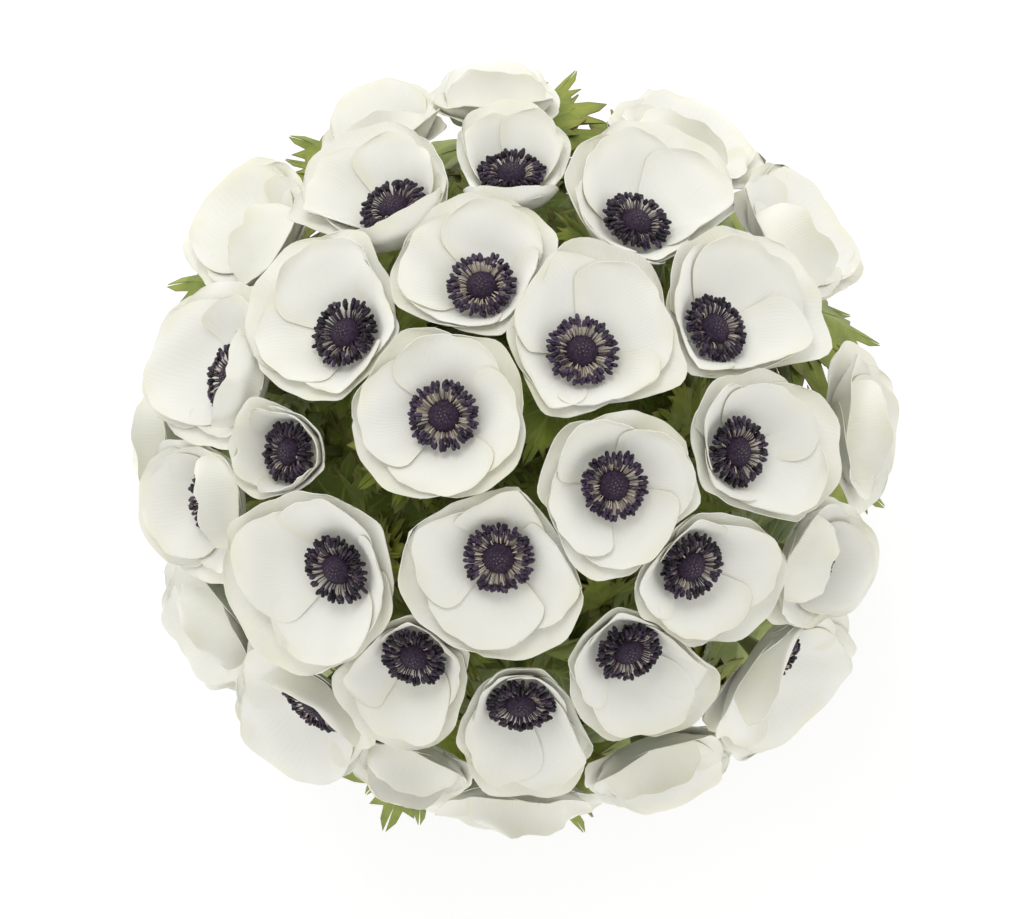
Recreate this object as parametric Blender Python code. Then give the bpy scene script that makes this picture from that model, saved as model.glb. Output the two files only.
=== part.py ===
"""A hand-tied bouquet of white anemones that stands upright on its cut stems.

Metres, +Z up. The origin is on the standing surface, at the middle of the cut stem ends.
Blooms sit on a dome. Each has two whorls of white petals, a dark heart of pistils and
stamens, and a green stem with a collar of three cut leaves. A twine tie holds the stems.
"""

import math
import random
from collections import namedtuple

import bmesh
import bpy
from mathutils import Matrix, Vector

MM = 0.001
UP = Vector((0, 0, 1))
GAP = 0.3 * MM

# Dome that the hearts of the blooms sit on. Between two tilts, in degrees, it draws in a little.
DOME_CENTRE = Vector((0, 0, 186 * MM))
DOME_RADIUS = 150 * MM
SKIRT_RADIUS = 143 * MM
SKIRT_STARTS, SKIRT_ENDS = 48, 82

# Petals, in millimetres from their bloom's axis: a claw from the seat, then a blade
ROOT, CLAW = 1.5, 9.5
CLAW_SHARE = 1 / 3
PETAL_THICKNESS = 1.2
PETAL_WIDTH, PETAL_SPREAD = 0.62, 0.95
BLADE_START, BLADE_SWELL = 0.16, 0.58
PETAL_ACROSS, PETAL_ALONG = 2, 3
INNER_WHORL_UP = 1.5
INNER_WHORL_REACH = 0.88

# Cup that the petals make: flat to a radius in millimetres, then rising
FLAT_BASE = 14.0
CUP_STRAIGHT = 0.4
CUP_FLARE = 0.05

# Seat of the petals and heart of the bloom, in millimetres
HUB_RADIUS, HUB_LOW, HUB_HIGH = 7.5, -3.0, 2.2
HUB_SIDES = 4
HEART_RADIUS, BOSS_RADIUS = 14.5, 6.6
HEART_HEIGHT, BOSS_SHOULDER, ANTHER_HEIGHT = 10.5, 8.4, 7.4
ANTHERS = 8
ANTHER_NOTCH, ANTHER_DROP = 0.8, 0.5
FULL_HEART_FROM = 30

# Room that neighbouring blooms leave each other, in millimetres, and how their walls lean
NEIGHBOUR_GAP, WHORL_GAP = 1.0, 1.4
NEIGHBOUR_WITHIN = 1.5
CONTACT_UP = 0.4
LEAN_OVER, LEAN_BESIDE = 40, 16
SIDE_BY_SIDE = 6
PUSH_SOFTNESS, PUSH_LIFT = 4.0, 0.5
CROSSING = 3.0
MATE_REACH = 1.15

# Stems, bound at the tie and cut level at the foot
STEM_RADIUS = 2.6 * MM
STEM_POINTS = 4
STEM_TOP_GAP = 0.35 * MM
BEND_HIGH, BEND_LOW = 0.42, 0.40
TIE_HEIGHT = 96 * MM
TIE_SPACING = 5.3 * MM
TIE_RIM_FROM = 75
FOOT_SPREAD = 2.6
FOOT_TRIM = 4 * MM
SPIRAL_ABOVE, SPIRAL_BELOW = 50, 45
CORE_TALL, CORE_SIDES = 8.0, 12

# Collar of leaves. Lengths are in millimetres, and a leaf's own sizes are parts of its length.
COLLAR_BELOW = 25 * MM
COLLAR_LEAVES = 3
COLLAR_LENGTH, COLLAR_LONGER = 14.0, 15.0
COLLAR_RISE = 0.3
LONG_LOBES, SHORT_LOBES = 5, 3
LEAF_THICKNESS = 1.2
LEAF_WIDTH, LEAF_NOTCH, LEAF_MIDDLE = 0.46, 0.32, 0.42
LEAF_START, LEAF_SWELL = 0.12, 0.72
LOBE_FORWARD, NOTCH_BACK = 0.14, 0.02
LEAF_ARCH, LEAF_FOLD = 0.06, 0.2
LEAVES_UNDER = 7 * MM
SHOWS_PAST = 1.3

# Twine tie, with the knot's bearing in degrees and the path of its loose ends in millimetres
TWINE_RADIUS = 1.5 * MM
TIE_TURNS, TIE_SIDES = 3, 16
TIE_ROOM = 1.3 * MM
KNOT_BEARING = -62
KNOT_SIZE = 5.5 * MM
KNOT_OUT = 0.5 * MM
TWINE_END = [(3.5, 6, -9), (6, 11, -27)]
SHORT_END = 0.8

Bloom = namedtuple("Bloom", "name bearing tilt radius depth turn outer inner")

# Bearing round the dome from +X, tilt from upright, and the turn of the first petal are in
# degrees. Radius and depth of the open cup are in millimetres. The last two are petal counts.
BLOOMS = [
    Bloom("crown_1", 56, 18, 40, 14, 20, 4, 4),
    Bloom("crown_2", 156, 12, 39, 13, 65, 4, 4),
    Bloom("crown_3", 261, 17, 41, 14, 40, 4, 4),
    Bloom("crown_4", 339, 16, 37, 14, 0, 4, 4),
    Bloom("ring_01", 102, 26, 37, 15, 10, 4, 4),
    Bloom("ring_02", 31, 38, 39, 15, 50, 4, 4),
    Bloom("ring_03", 359, 36, 38, 16, 30, 4, 4),
    Bloom("ring_04", 326, 34, 36, 16, 15, 4, 4),
    Bloom("ring_05", 299, 38, 35, 15, 60, 4, 4),
    Bloom("ring_06", 271, 43, 36, 15, 0, 4, 4),
    Bloom("ring_07", 244, 38, 34, 15, 35, 4, 4),
    Bloom("ring_08", 214, 35, 39, 15, 20, 4, 4),
    Bloom("ring_09", 181, 37, 27, 18, 45, 4, 4),
    Bloom("ring_10", 146, 33, 39, 15, 5, 4, 4),
    Bloom("ring_11", 117, 46, 37, 14, 55, 4, 4),
    Bloom("ring_12", 91, 47, 34, 14, 25, 4, 4),
    Bloom("ring_13", 62, 43, 39, 15, 40, 4, 4),
    Bloom("skirt_01", 3, 72, 38, 15, 10, 4, 3),
    Bloom("skirt_02", 36, 70, 40, 14, 50, 4, 3),
    Bloom("skirt_03", 61, 74, 36, 14, 30, 4, 3),
    Bloom("skirt_04", 93, 77, 36, 15, 0, 4, 3),
    Bloom("skirt_05", 113, 72, 34, 15, 60, 4, 3),
    Bloom("skirt_06", 141, 64, 39, 14, 20, 4, 3),
    Bloom("skirt_07", 166, 52, 37, 14, 40, 4, 3),
    Bloom("skirt_08", 180, 84, 35, 14, 10, 4, 3),
    Bloom("skirt_09", 190, 57, 35, 14, 50, 4, 3),
    Bloom("skirt_10", 210, 74, 38, 14, 15, 4, 3),
    Bloom("skirt_11", 232, 64, 39, 14, 35, 4, 3),
    Bloom("skirt_12", 252, 69, 35, 14, 55, 4, 3),
    Bloom("skirt_13", 270, 82, 37, 14, 5, 4, 3),
    Bloom("skirt_14", 293, 74, 36, 14, 25, 4, 3),
    Bloom("skirt_15", 320, 70, 40, 15, 45, 4, 3),
    Bloom("skirt_16", 339, 60, 36, 14, 20, 4, 3),
]

Spot = namedtuple("Spot", "bearing tilt reach")

# Where the tip of a bloom's longest leaf shows, between the blooms or, at more than 90 degrees
# of tilt, past the edge. Reach is the distance from the dome's centre in millimetres.
SHOWING = {
    "crown_1": Spot(14, 3, 140),
    "crown_2": Spot(191, 24, 140),
    "ring_02": Spot(52, 37, 140),
    "ring_03": Spot(19, 29, 140),
    "ring_05": Spot(300, 26, 140),
    "ring_06": Spot(283, 32, 140),
    "ring_07": Spot(261, 37, 140),
    "ring_08": Spot(227, 29, 140),
    "ring_10": Spot(128, 23, 140),
    "ring_11": Spot(135, 57, 138),
    "ring_13": Spot(77, 38, 140),
    "skirt_07": Spot(151, 58, 138),
    "skirt_11": Spot(244, 77, 132),
    "skirt_15": Spot(308, 66, 134),
    "skirt_01": Spot(351, 96, 162),
    "skirt_02": Spot(16, 95, 164),
    "skirt_03": Spot(72, 96, 158),
    "skirt_04": Spot(81, 95, 166),
    "skirt_05": Spot(126, 96, 167),
    "skirt_06": Spot(155, 94, 166),
    "skirt_10": Spot(197, 94, 159),
    "skirt_12": Spot(253, 98, 175),
    "skirt_13": Spot(280, 99, 171),
}

# Two blooms that press together have a petal of each crossing, and share one solid
PAIRS = [
    ("ring_02", "ring_03"),
    ("ring_04", "ring_05"),
    ("ring_07", "ring_08"),
    ("ring_11", "ring_12"),
    ("skirt_04", "skirt_05"),
    ("skirt_07", "skirt_09"),
    ("skirt_11", "skirt_12"),
    ("skirt_15", "skirt_16"),
]
BY_NAME = {bloom.name: bloom for bloom in BLOOMS}
MATES = {one: BY_NAME[other] for pair in PAIRS for one, other in (pair, pair[::-1])}


def clear_scene():
    for thing in list(bpy.data.objects):
        bpy.data.objects.remove(thing, do_unlink=True)


def material(name, colour, roughness):
    made = bpy.data.materials.new(name)
    made.use_nodes = True
    shader = made.node_tree.nodes["Principled BSDF"]
    shader.inputs["Base Color"].default_value = (*colour, 1)
    shader.inputs["Roughness"].default_value = roughness
    shader.inputs["Metallic"].default_value = 0
    return made


def smooth_step(value):
    value = min(1.0, max(0.0, value))
    return value * value * (3 - 2 * value)


# Where each bloom sits and what room it has

def axis_of(spot):
    """The way out from the dome's centre at a bloom's or spot's bearing and tilt."""
    bearing, tilt = math.radians(spot.bearing), math.radians(spot.tilt)
    flat = math.sin(tilt)
    return Vector((flat * math.cos(bearing), flat * math.sin(bearing), math.cos(tilt)))


def dome_radius(tilt):
    fall = smooth_step((tilt - SKIRT_STARTS) / (SKIRT_ENDS - SKIRT_STARTS))
    return DOME_RADIUS + (SKIRT_RADIUS - DOME_RADIUS) * fall


def heart_of(bloom):
    return DOME_CENTRE + axis_of(bloom) * dome_radius(bloom.tilt)


def frame_of(bloom):
    """The bloom's own frame: Z out of the cup, X down the dome."""
    axis = axis_of(bloom)
    across = UP.cross(axis).normalized()
    down = across.cross(axis)
    turned = Matrix((down, across, axis)).transposed().to_4x4()
    return Matrix.Translation(heart_of(bloom)) @ turned


def millimetre_frame(bloom):
    """The bloom's frame for points in millimetres, into the world in millimetres."""
    return Matrix.Scale(1 / MM, 4) @ frame_of(bloom) @ Matrix.Scale(MM, 4)


def walls_of(bloom, crossing):
    """Planes (normal, offset in millimetres) between this bloom and each near neighbour.

    A bloom lower on the dome is overhung by the one above. The plane towards the bloom's
    mate is moved out by crossing millimetres.
    """
    walls = []
    here = axis_of(bloom)
    for other in BLOOMS:
        there = axis_of(other)
        apart = here.angle(there)
        both = (bloom.radius + other.radius) * MM
        if other == bloom or apart * DOME_RADIUS > NEIGHBOUR_WITHIN * both:
            continue
        share = apart * bloom.radius / (bloom.radius + other.radius)
        side = (there - here * here.dot(there)).normalized()
        edge = here * math.cos(share) + side * math.sin(share)
        normal = side * math.cos(share) - here * math.sin(share)
        steps = other.tilt - bloom.tilt
        lean = LEAN_OVER if abs(steps) > SIDE_BY_SIDE else LEAN_BESIDE
        lean = math.radians(math.copysign(lean, steps or other.bearing - bloom.bearing))
        normal = normal * math.cos(lean) - edge * math.sin(lean)
        rise = CONTACT_UP * (bloom.depth + other.depth) / 2 * MM
        contact = DOME_CENTRE + edge * (DOME_RADIUS + rise)
        extra = crossing if other == MATES.get(bloom.name) else 0
        walls.append((normal, normal.dot(contact) / MM + extra))
    return walls


def pushed(point, walls, axis, room):
    """A point in millimetres, bent softly back and up where it would pass a wall."""
    for _ in range(2):
        for normal, offset in walls:
            past = normal.dot(point) - (offset - room)
            if past > PUSH_SOFTNESS:
                push = past
            elif past > -PUSH_SOFTNESS:
                push = (past + PUSH_SOFTNESS) ** 2 / (4 * PUSH_SOFTNESS)
            else:
                continue
            point = point - normal * push + axis * (push * PUSH_LIFT)
    return point


def kept_inside(point, walls, room):
    """The point, moved straight back to room millimetres inside every wall that it passes."""
    for _ in range(6):
        for normal, offset in walls:
            past = normal.dot(point) - (offset - room)
            if past > 0:
                point = point - normal * past
    return point


# Solids

def faces_of(verts):
    return list({face for vert in verts for face in vert.link_faces})


def add_blade(bm, make_sheet, place, thickness, walls):
    """Lays two alike sheets by place(x, y) and sews them along their outline into a blade."""
    for side in (1, -1):
        verts = make_sheet(bm)["verts"]
        bmesh.ops.triangulate(bm, faces=faces_of(verts), quad_method="FIXED")
        corners = [edge for edge in bm.edges if not edge.is_boundary
                   and all(vert.is_boundary for vert in edge.verts)]
        bmesh.ops.rotate_edges(bm, edges=corners)
        for vert in verts:
            vert.co = place(vert.co.x, vert.co.y)
        bm.normal_update()
        inner = [vert for vert in verts if not vert.is_boundary]
        lifted = [vert.co + vert.normal * (side * thickness / 2) for vert in inner]
        for vert, point in zip(inner, lifted):
            vert.co = point
        for vert in verts:
            vert.co = kept_inside(vert.co, walls, GAP / MM)
        if side < 0:
            bmesh.ops.reverse_faces(bm, faces=faces_of(verts))
    bmesh.ops.remove_doubles(bm, verts=bm.verts, dist=1e-3)


def object_from(bm, name, world=Matrix.Identity(4)):
    """An object with this mesh, drawn in millimetres in the world, and that place and turn."""
    bm.transform(world.inverted() @ Matrix.Scale(MM, 4))
    mesh = bpy.data.meshes.new(name)
    bm.to_mesh(mesh)
    bm.free()
    made = bpy.data.objects.new(name, mesh)
    made.matrix_world = world
    return made


def applied(made):
    """The object's mesh with its modifiers or bevel applied."""
    bpy.context.view_layer.update()
    whole = made.evaluated_get(bpy.context.evaluated_depsgraph_get())
    return bpy.data.meshes.new_from_object(whole)


def joined(name, pieces, finish, cutter=None):
    """One object, the union of all the pieces less the cutter, in the first one's place."""
    first, others = pieces[0], pieces[1:]
    bouquet.objects.link(first)
    repeats = bpy.data.collections.new(name + "_pieces")
    bpy.context.scene.collection.children.link(repeats)
    for piece in others:
        repeats.objects.link(piece)
    union = first.modifiers.new("Union", "BOOLEAN")
    union.operation = "UNION"
    union.operand_type = "COLLECTION"
    union.collection = repeats
    union.solver = "MANIFOLD"
    if cutter:
        cut = first.modifiers.new("Cut", "BOOLEAN")
        cut.operation = "DIFFERENCE"
        cut.object = cutter
        cut.solver = "MANIFOLD"
    mesh = applied(first)
    mesh.name = name
    mesh.materials.clear()
    mesh.materials.append(finish)
    first.modifiers.clear()
    first.data = mesh
    first.name = name
    for piece in others:
        bpy.data.objects.remove(piece)
    bpy.data.collections.remove(repeats)
    return first


def tube(name, line, radius):
    """A capped six-sided tube along a line of points in metres."""
    curve = bpy.data.curves.new(name, "CURVE")
    curve.dimensions = "3D"
    curve.bevel_depth = radius
    curve.bevel_resolution = 1
    curve.use_fill_caps = True
    spline = curve.splines.new("POLY")
    spline.points.add(len(line) - 1)
    for point, place in zip(spline.points, line):
        point.co = (*place, 1)
    drawn = bpy.data.objects.new(name, curve)
    bouquet.objects.link(drawn)
    made = bpy.data.objects.new(name, applied(drawn))
    made.matrix_world = drawn.matrix_world
    bpy.data.objects.remove(drawn)
    bm = bmesh.new()
    bm.from_mesh(made.data)
    bmesh.ops.remove_doubles(bm, verts=bm.verts, dist=1e-6)
    bmesh.ops.recalc_face_normals(bm, faces=bm.faces)
    bm.to_mesh(made.data)
    bm.free()
    return made


# Petals

def cup_height(radius, reach, depth):
    along = min(1.0, max(0.0, (radius - FLAT_BASE) / (reach - FLAT_BASE)))
    rise = CUP_STRAIGHT * along + (1 - CUP_STRAIGHT) * smooth_step(along)
    return depth * rise + CUP_FLARE * radius


def petal_point(petal, u, t):
    """A point of a petal in its bloom's frame, in millimetres. u goes across, t to the tip."""
    claw = min(1.0, t / CLAW_SHARE)
    blade = max(0.0, (t - CLAW_SHARE) / (1 - CLAW_SHARE))
    length = petal["reach"] - CLAW
    radius = ROOT + (CLAW - ROOT) * claw + length * blade
    radius -= length * petal["round"] * blade * blade * u * u
    width = petal["half_width"] * math.sin(math.pi * (BLADE_START + BLADE_SWELL * blade)) * claw
    angle = petal["angle"] + u * min(width / max(radius, CLAW), petal["spread"])
    height = cup_height(radius, petal["reach"], petal["depth"]) + petal["up"]
    height += petal["spoon"] * u * u * blade
    return Vector((radius * math.cos(angle), radius * math.sin(angle), height))


def petals_of(bloom):
    """The petals of both whorls. The first one of a bloom with a mate points to it."""
    chance = random.Random(bloom.name)
    first = math.radians(bloom.turn)
    if bloom.name in MATES:
        towards = frame_of(bloom).inverted() @ heart_of(MATES[bloom.name])
        first = math.atan2(towards.y, towards.x)
    made = []
    for whorl, count in enumerate((bloom.outer, bloom.inner)):
        reach = bloom.radius * (INNER_WHORL_REACH if whorl else 1.0)
        for k in range(count):
            length = reach * chance.uniform(0.95, 1.03)
            if bloom.name in MATES and k + whorl == 0:
                length = reach * MATE_REACH
            deeper = chance.uniform(1.05, 1.2) if whorl else chance.uniform(0.85, 1)
            made.append({
                "whorl": whorl,
                "angle": first + math.tau * (k + 0.5 * whorl) / count,
                "reach": length,
                "depth": bloom.depth * deeper,
                "half_width": reach * PETAL_WIDTH * 4 / count * chance.uniform(0.93, 1),
                "spread": math.pi / count * PETAL_SPREAD,
                "round": chance.uniform(0.10, 0.18),
                "up": INNER_WHORL_UP * whorl,
                "spoon": chance.uniform(0.4, 1.2),
            })
    return made


def hub_of(bloom):
    """The seat of the petals, a short plug where all of them meet."""
    bm = bmesh.new()
    bmesh.ops.create_cone(bm, cap_ends=True, segments=HUB_SIDES, radius1=0.5 * HUB_RADIUS,
                          radius2=HUB_RADIUS, depth=HUB_HIGH - HUB_LOW)
    middle = Matrix.Translation((0, 0, (HUB_HIGH + HUB_LOW) / 2))
    bm.transform(millimetre_frame(bloom) @ middle)
    return object_from(bm, bloom.name + "_hub", frame_of(bloom))


def petal_sheet(bm):
    return bmesh.ops.create_grid(bm, x_segments=PETAL_ACROSS, y_segments=PETAL_ALONG, size=1)


def petal_blade(bloom, petal, name):
    frame = millimetre_frame(bloom)
    walls = walls_of(bloom, 0 if petal["whorl"] else CROSSING)
    room = NEIGHBOUR_GAP + WHORL_GAP * petal["whorl"]

    def place(x, y):
        return pushed(frame @ petal_point(petal, x, (y + 1) / 2), walls, axis_of(bloom), room)

    bm = bmesh.new()
    add_blade(bm, petal_sheet, place, PETAL_THICKNESS, walls)
    return object_from(bm, name, frame_of(bloom))


def build_petals(name, blooms, finish):
    pieces = []
    for bloom in blooms:
        pieces.append(hub_of(bloom))
        for number, petal in enumerate(petals_of(bloom)):
            pieces.append(petal_blade(bloom, petal, f"{bloom.name}_petal_{number}"))
    return joined(name, pieces, finish)


# Heart: the boss of pistils in its ring of stamens

def build_heart(bloom, finish):
    size = min(1, bloom.radius / FULL_HEART_FROM)
    bm = bmesh.new()
    bmesh.ops.create_uvsphere(bm, u_segments=2 * ANTHERS, v_segments=3, radius=1)
    for vert in bm.verts:
        level = round(vert.co.z, 1)
        angle = math.atan2(vert.co.y, vert.co.x)
        notch = round(angle / math.tau * 2 * ANTHERS) % 2
        radius, height = {
            1.0: (0, HEART_HEIGHT),
            0.5: (BOSS_RADIUS * size, BOSS_SHOULDER),
            -0.5: (HEART_RADIUS * size * ANTHER_NOTCH ** notch, ANTHER_HEIGHT - ANTHER_DROP * notch),
            -1.0: (0, HUB_HIGH + GAP / MM),
        }[level]
        vert.co = (radius * math.cos(angle), radius * math.sin(angle), height)
    bm.transform(millimetre_frame(bloom))
    made = object_from(bm, "heart_" + bloom.name, frame_of(bloom))
    made.data.materials.append(finish)
    bouquet.objects.link(made)


# Stems

def tie_sites():
    """Close-packed places for all the stems in the tie, from the middle outwards."""
    rows = range(-4, 5)
    sites = [Vector((a + b / 2, b * math.sqrt(3) / 2, 0)) * TIE_SPACING for a in rows for b in rows]
    sites.sort(key=lambda site: (round(site.length, 6), math.atan2(site.y, site.x)))
    return sites[:len(BLOOMS)]


def tie_radius():
    return max(site.length for site in tie_sites())


def planted():
    """For each bloom its place in the tie, the nearest free one to where its stem would go."""
    free = tie_sites()
    places = {}
    for bloom in sorted(BLOOMS, key=lambda bloom: bloom.tilt):
        bearing = math.radians(bloom.bearing - SPIRAL_ABOVE)
        reach = tie_radius() * min(1, bloom.tilt / TIE_RIM_FROM)
        wish = Vector((math.cos(bearing), math.sin(bearing), 0)) * reach
        best = min(free, key=lambda site: (site - wish).length)
        free.remove(best)
        places[bloom.name] = best
    return places


def stem_path(bloom, place):
    """The stem's line from its bloom down through the tie to below the foot, in metres."""
    axis = axis_of(bloom)
    head = heart_of(bloom) + axis * (HUB_LOW * MM - STEM_TOP_GAP)
    tie = place + UP * TIE_HEIGHT
    foot = Matrix.Rotation(-math.radians(SPIRAL_BELOW), 3, "Z") @ place * FOOT_SPREAD
    climb = (tie - foot).normalized()
    reach = (head - tie).length
    bend_high = head - axis * reach * BEND_HIGH
    bend_low = tie + climb * reach * BEND_LOW
    line = []
    for step in range(STEM_POINTS):
        t = step / (STEM_POINTS - 1)
        line.append(head * (1 - t) ** 3 + bend_high * 3 * t * (1 - t) ** 2
                    + bend_low * 3 * t * t * (1 - t) + tie * t ** 3)
    line[0] -= axis * STEM_RADIUS * math.sin(axis.angle(line[0] - line[1]))
    return line + [foot - climb * 2 * FOOT_TRIM]


# Leaves

def under_blooms(point):
    """Keeps a leaf's point, in millimetres, below the shell that the blooms sit on."""
    out = point * MM - DOME_CENTRE
    reach = dome_radius(math.degrees(UP.angle(out))) - LEAVES_UNDER
    if out.length <= reach:
        return point
    return (DOME_CENTRE + out * (reach / out.length)) / MM


def leaf_outline(step, lobes):
    """Where the outline's point is along and across a leaf, as parts of its length.

    Step 0 is the tip and steps lobes and -lobes are the base.
    """
    k = abs(step)
    if k == 0:
        return 1.0, 0.0
    if k == lobes:
        return 0.0, 0.0
    rib = 1 - k / lobes
    width = LEAF_WIDTH * math.sin(math.pi * (LEAF_START + LEAF_SWELL * rib))
    if k % 2:
        return rib - NOTCH_BACK, math.copysign(LEAF_NOTCH * width, step)
    return rib + LOBE_FORWARD, math.copysign(width, step)


def leaf_blade(name, root, tip, up, lobes, limit=under_blooms):
    """A cut leaf in world millimetres from root to tip, its face to up, kept in by limit."""
    out = tip - root
    length = out.length
    out.normalize()
    up = (up - out * up.dot(out)).normalized()
    across = up.cross(out)
    segments = 2 * lobes + 1

    def place(x, y):
        along, side = LEAF_MIDDLE, 0.0
        if math.hypot(x, y) > 0.5:
            along, side = leaf_outline(round(math.atan2(x, y) / math.tau * segments), lobes)
        arch = LEAF_ARCH * math.sin(math.pi * along) - LEAF_FOLD * abs(side)
        return limit(root + (out * along + across * side + up * arch) * length)

    def sheet(bm):
        return bmesh.ops.create_circle(bm, cap_ends=True, cap_tris=True, segments=segments, radius=1)

    bm = bmesh.new()
    add_blade(bm, sheet, place, LEAF_THICKNESS, [])
    return object_from(bm, name)


def collar(bloom, line):
    """The whorl of cut leaves on the stem below the bloom, the longest to its showing spot."""
    up = (line[0] - line[1]).normalized()
    root = (line[0] - up * COLLAR_BELOW) / MM
    first = up.orthogonal().normalized()
    second = up.cross(first)
    start = random.Random("collar " + bloom.name).uniform(0, math.tau)
    made = []
    if bloom.name in SHOWING:
        spot = SHOWING[bloom.name]
        tip = (DOME_CENTRE + axis_of(spot) * spot.reach * MM) / MM
        start = math.atan2((tip - root).dot(second), (tip - root).dot(first))
        name = bloom.name + "_leaf_0"
        if spot.tilt > 90:
            made.append(leaf_blade(name, root, tip, up, LONG_LOBES, Vector))
        else:
            made.append(leaf_blade(name, root, root + (tip - root) * SHOWS_PAST, up, LONG_LOBES))
    for k in range(len(made), COLLAR_LEAVES):
        angle = start + math.tau * k / COLLAR_LEAVES
        out = first * math.cos(angle) + second * math.sin(angle) + up * COLLAR_RISE
        tip = root + out * (COLLAR_LENGTH + COLLAR_LONGER * bloom.tilt / 90)
        made.append(leaf_blade(f"{bloom.name}_leaf_{k}", root, tip, up, SHORT_LOBES))
    return made


def build_greens(finish):
    """All stems with their collars in one solid, fused at the tie by a core between them."""
    bm = bmesh.new()
    core = tie_radius() / MM
    bmesh.ops.create_cone(bm, cap_ends=True, segments=CORE_SIDES, radius1=core, radius2=core,
                          depth=CORE_TALL)
    bm.transform(Matrix.Translation((0, 0, TIE_HEIGHT / MM)))
    pieces = [object_from(bm, "core")]
    places = planted()
    for bloom in BLOOMS:
        line = stem_path(bloom, places[bloom.name])
        pieces.append(tube(bloom.name + "_stem", line, STEM_RADIUS))
        pieces += collar(bloom, line)
    return joined("stems_and_leaves", pieces, finish, knife())


def knife():
    """The cut that trims all stems level at the foot."""
    size = 2 * DOME_CENTRE.z
    bpy.ops.mesh.primitive_cube_add(size=size, location=(0, 0, -size / 2))
    made = bpy.context.object
    made.name = "knife"
    made.hide_render = True
    made.display_type = "WIRE"
    for home in list(made.users_collection):
        home.objects.unlink(made)
    cutters = bpy.data.collections.new("cutters")
    bpy.context.scene.collection.children.link(cutters)
    cutters.objects.link(made)
    return made


# Tie

def twine_turns():
    """Turns of twine side by side, turned as one ring round the stems."""
    inner = tie_radius() + STEM_RADIUS + TIE_ROOM
    outer = inner + 2 * TWINE_RADIUS
    low = TIE_HEIGHT - TIE_TURNS * TWINE_RADIUS
    profile = [(inner, low), (inner, low + 2 * TIE_TURNS * TWINE_RADIUS)]
    for turn in reversed(range(TIE_TURNS)):
        middle = low + (2 * turn + 1) * TWINE_RADIUS
        profile.append((outer, middle))
        if turn:
            profile.append((outer - TWINE_RADIUS, middle - TWINE_RADIUS))
    bm = bmesh.new()
    verts = [bm.verts.new((radius / MM, 0, height / MM)) for radius, height in profile]
    for first, second in zip(verts, verts[1:] + verts[:1]):
        bm.edges.new((first, second))
    bmesh.ops.spin(bm, geom=bm.verts[:] + bm.edges[:], axis=(0, 0, 1), cent=(0, 0, 0),
                   angle=math.tau, steps=TIE_SIDES, use_merge=True)
    bmesh.ops.recalc_face_normals(bm, faces=bm.faces)
    return object_from(bm, "turns")


def build_tie(finish):
    """The tie's turns with a knot and its two loose ends."""
    facing = Matrix.Rotation(math.radians(KNOT_BEARING), 4, "Z")
    outer = tie_radius() + STEM_RADIUS + TIE_ROOM + 2 * TWINE_RADIUS
    knot_at = Vector((outer + KNOT_OUT, 0, TIE_HEIGHT))
    bm = bmesh.new()
    bmesh.ops.create_uvsphere(bm, u_segments=8, v_segments=5, radius=1)
    size = Matrix.Diagonal((0.7 * KNOT_SIZE, KNOT_SIZE, 0.85 * KNOT_SIZE, 1))
    bm.transform(Matrix.Scale(1 / MM, 4) @ facing @ Matrix.Translation(knot_at) @ size)
    pieces = [twine_turns(), object_from(bm, "knot")]
    for side, share in ((1, 1), (-1, SHORT_END)):
        path = [Vector((out, side * along, rise)) * share * MM for out, along, rise in TWINE_END]
        line = [facing @ (knot_at + step) for step in [Vector((0, 0, 0))] + path]
        pieces.append(tube(f"end_{side}", line, 0.8 * TWINE_RADIUS))
    return joined("twine_tie", pieces, finish)


clear_scene()
bouquet = bpy.data.collections.new("anemone_bouquet")
bpy.context.scene.collection.children.link(bouquet)
white = material("petal_white", (0.90, 0.90, 0.83), 0.6)
dark = material("heart_aubergine", (0.035, 0.022, 0.06), 0.7)
green = material("stem_green", (0.16, 0.27, 0.05), 0.6)
twine = material("twine_straw", (0.55, 0.43, 0.26), 0.85)
for bloom in BLOOMS:
    build_heart(bloom, dark)
    if bloom.name not in MATES:
        build_petals("petals_" + bloom.name, [bloom], white)
for first, second in PAIRS:
    build_petals(f"petals_{first}_{second[-2:]}", [BY_NAME[first], BY_NAME[second]], white)
build_greens(green)
build_tie(twine)
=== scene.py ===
"""Looks of a hand-tied bouquet of white anemones, seen from straight above.

Metres, +Z up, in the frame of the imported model. The sizes and places of blooms, stems,
leaves and twine repeat those of the solids, so every piece stays where its solid is.
"""

import math
import random
from collections import namedtuple
from types import SimpleNamespace

import bpy
import numpy as np
from mathutils import Matrix, Vector


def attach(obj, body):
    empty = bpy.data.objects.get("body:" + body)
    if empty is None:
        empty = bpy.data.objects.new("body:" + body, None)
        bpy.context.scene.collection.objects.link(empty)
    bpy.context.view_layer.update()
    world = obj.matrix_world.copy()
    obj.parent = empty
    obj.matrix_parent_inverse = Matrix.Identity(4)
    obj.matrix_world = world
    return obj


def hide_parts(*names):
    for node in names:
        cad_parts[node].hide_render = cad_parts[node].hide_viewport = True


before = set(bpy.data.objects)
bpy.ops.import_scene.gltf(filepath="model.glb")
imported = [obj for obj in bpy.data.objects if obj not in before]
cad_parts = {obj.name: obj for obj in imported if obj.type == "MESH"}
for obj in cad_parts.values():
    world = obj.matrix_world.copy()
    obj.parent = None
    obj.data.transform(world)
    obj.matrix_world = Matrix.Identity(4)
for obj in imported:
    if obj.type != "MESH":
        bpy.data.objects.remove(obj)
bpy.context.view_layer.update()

MM = 0.001
UP = Vector((0, 0, 1))
FULL_TURN = math.tau

# Dome that the hearts of the blooms sit on. Between two tilts, in degrees, it draws in a little.
DOME_CENTRE = Vector((0, 0, 186 * MM))
DOME_RADIUS = 150 * MM
SKIRT_RADIUS = 143 * MM
SKIRT_STARTS, SKIRT_ENDS = 48, 82

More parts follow.
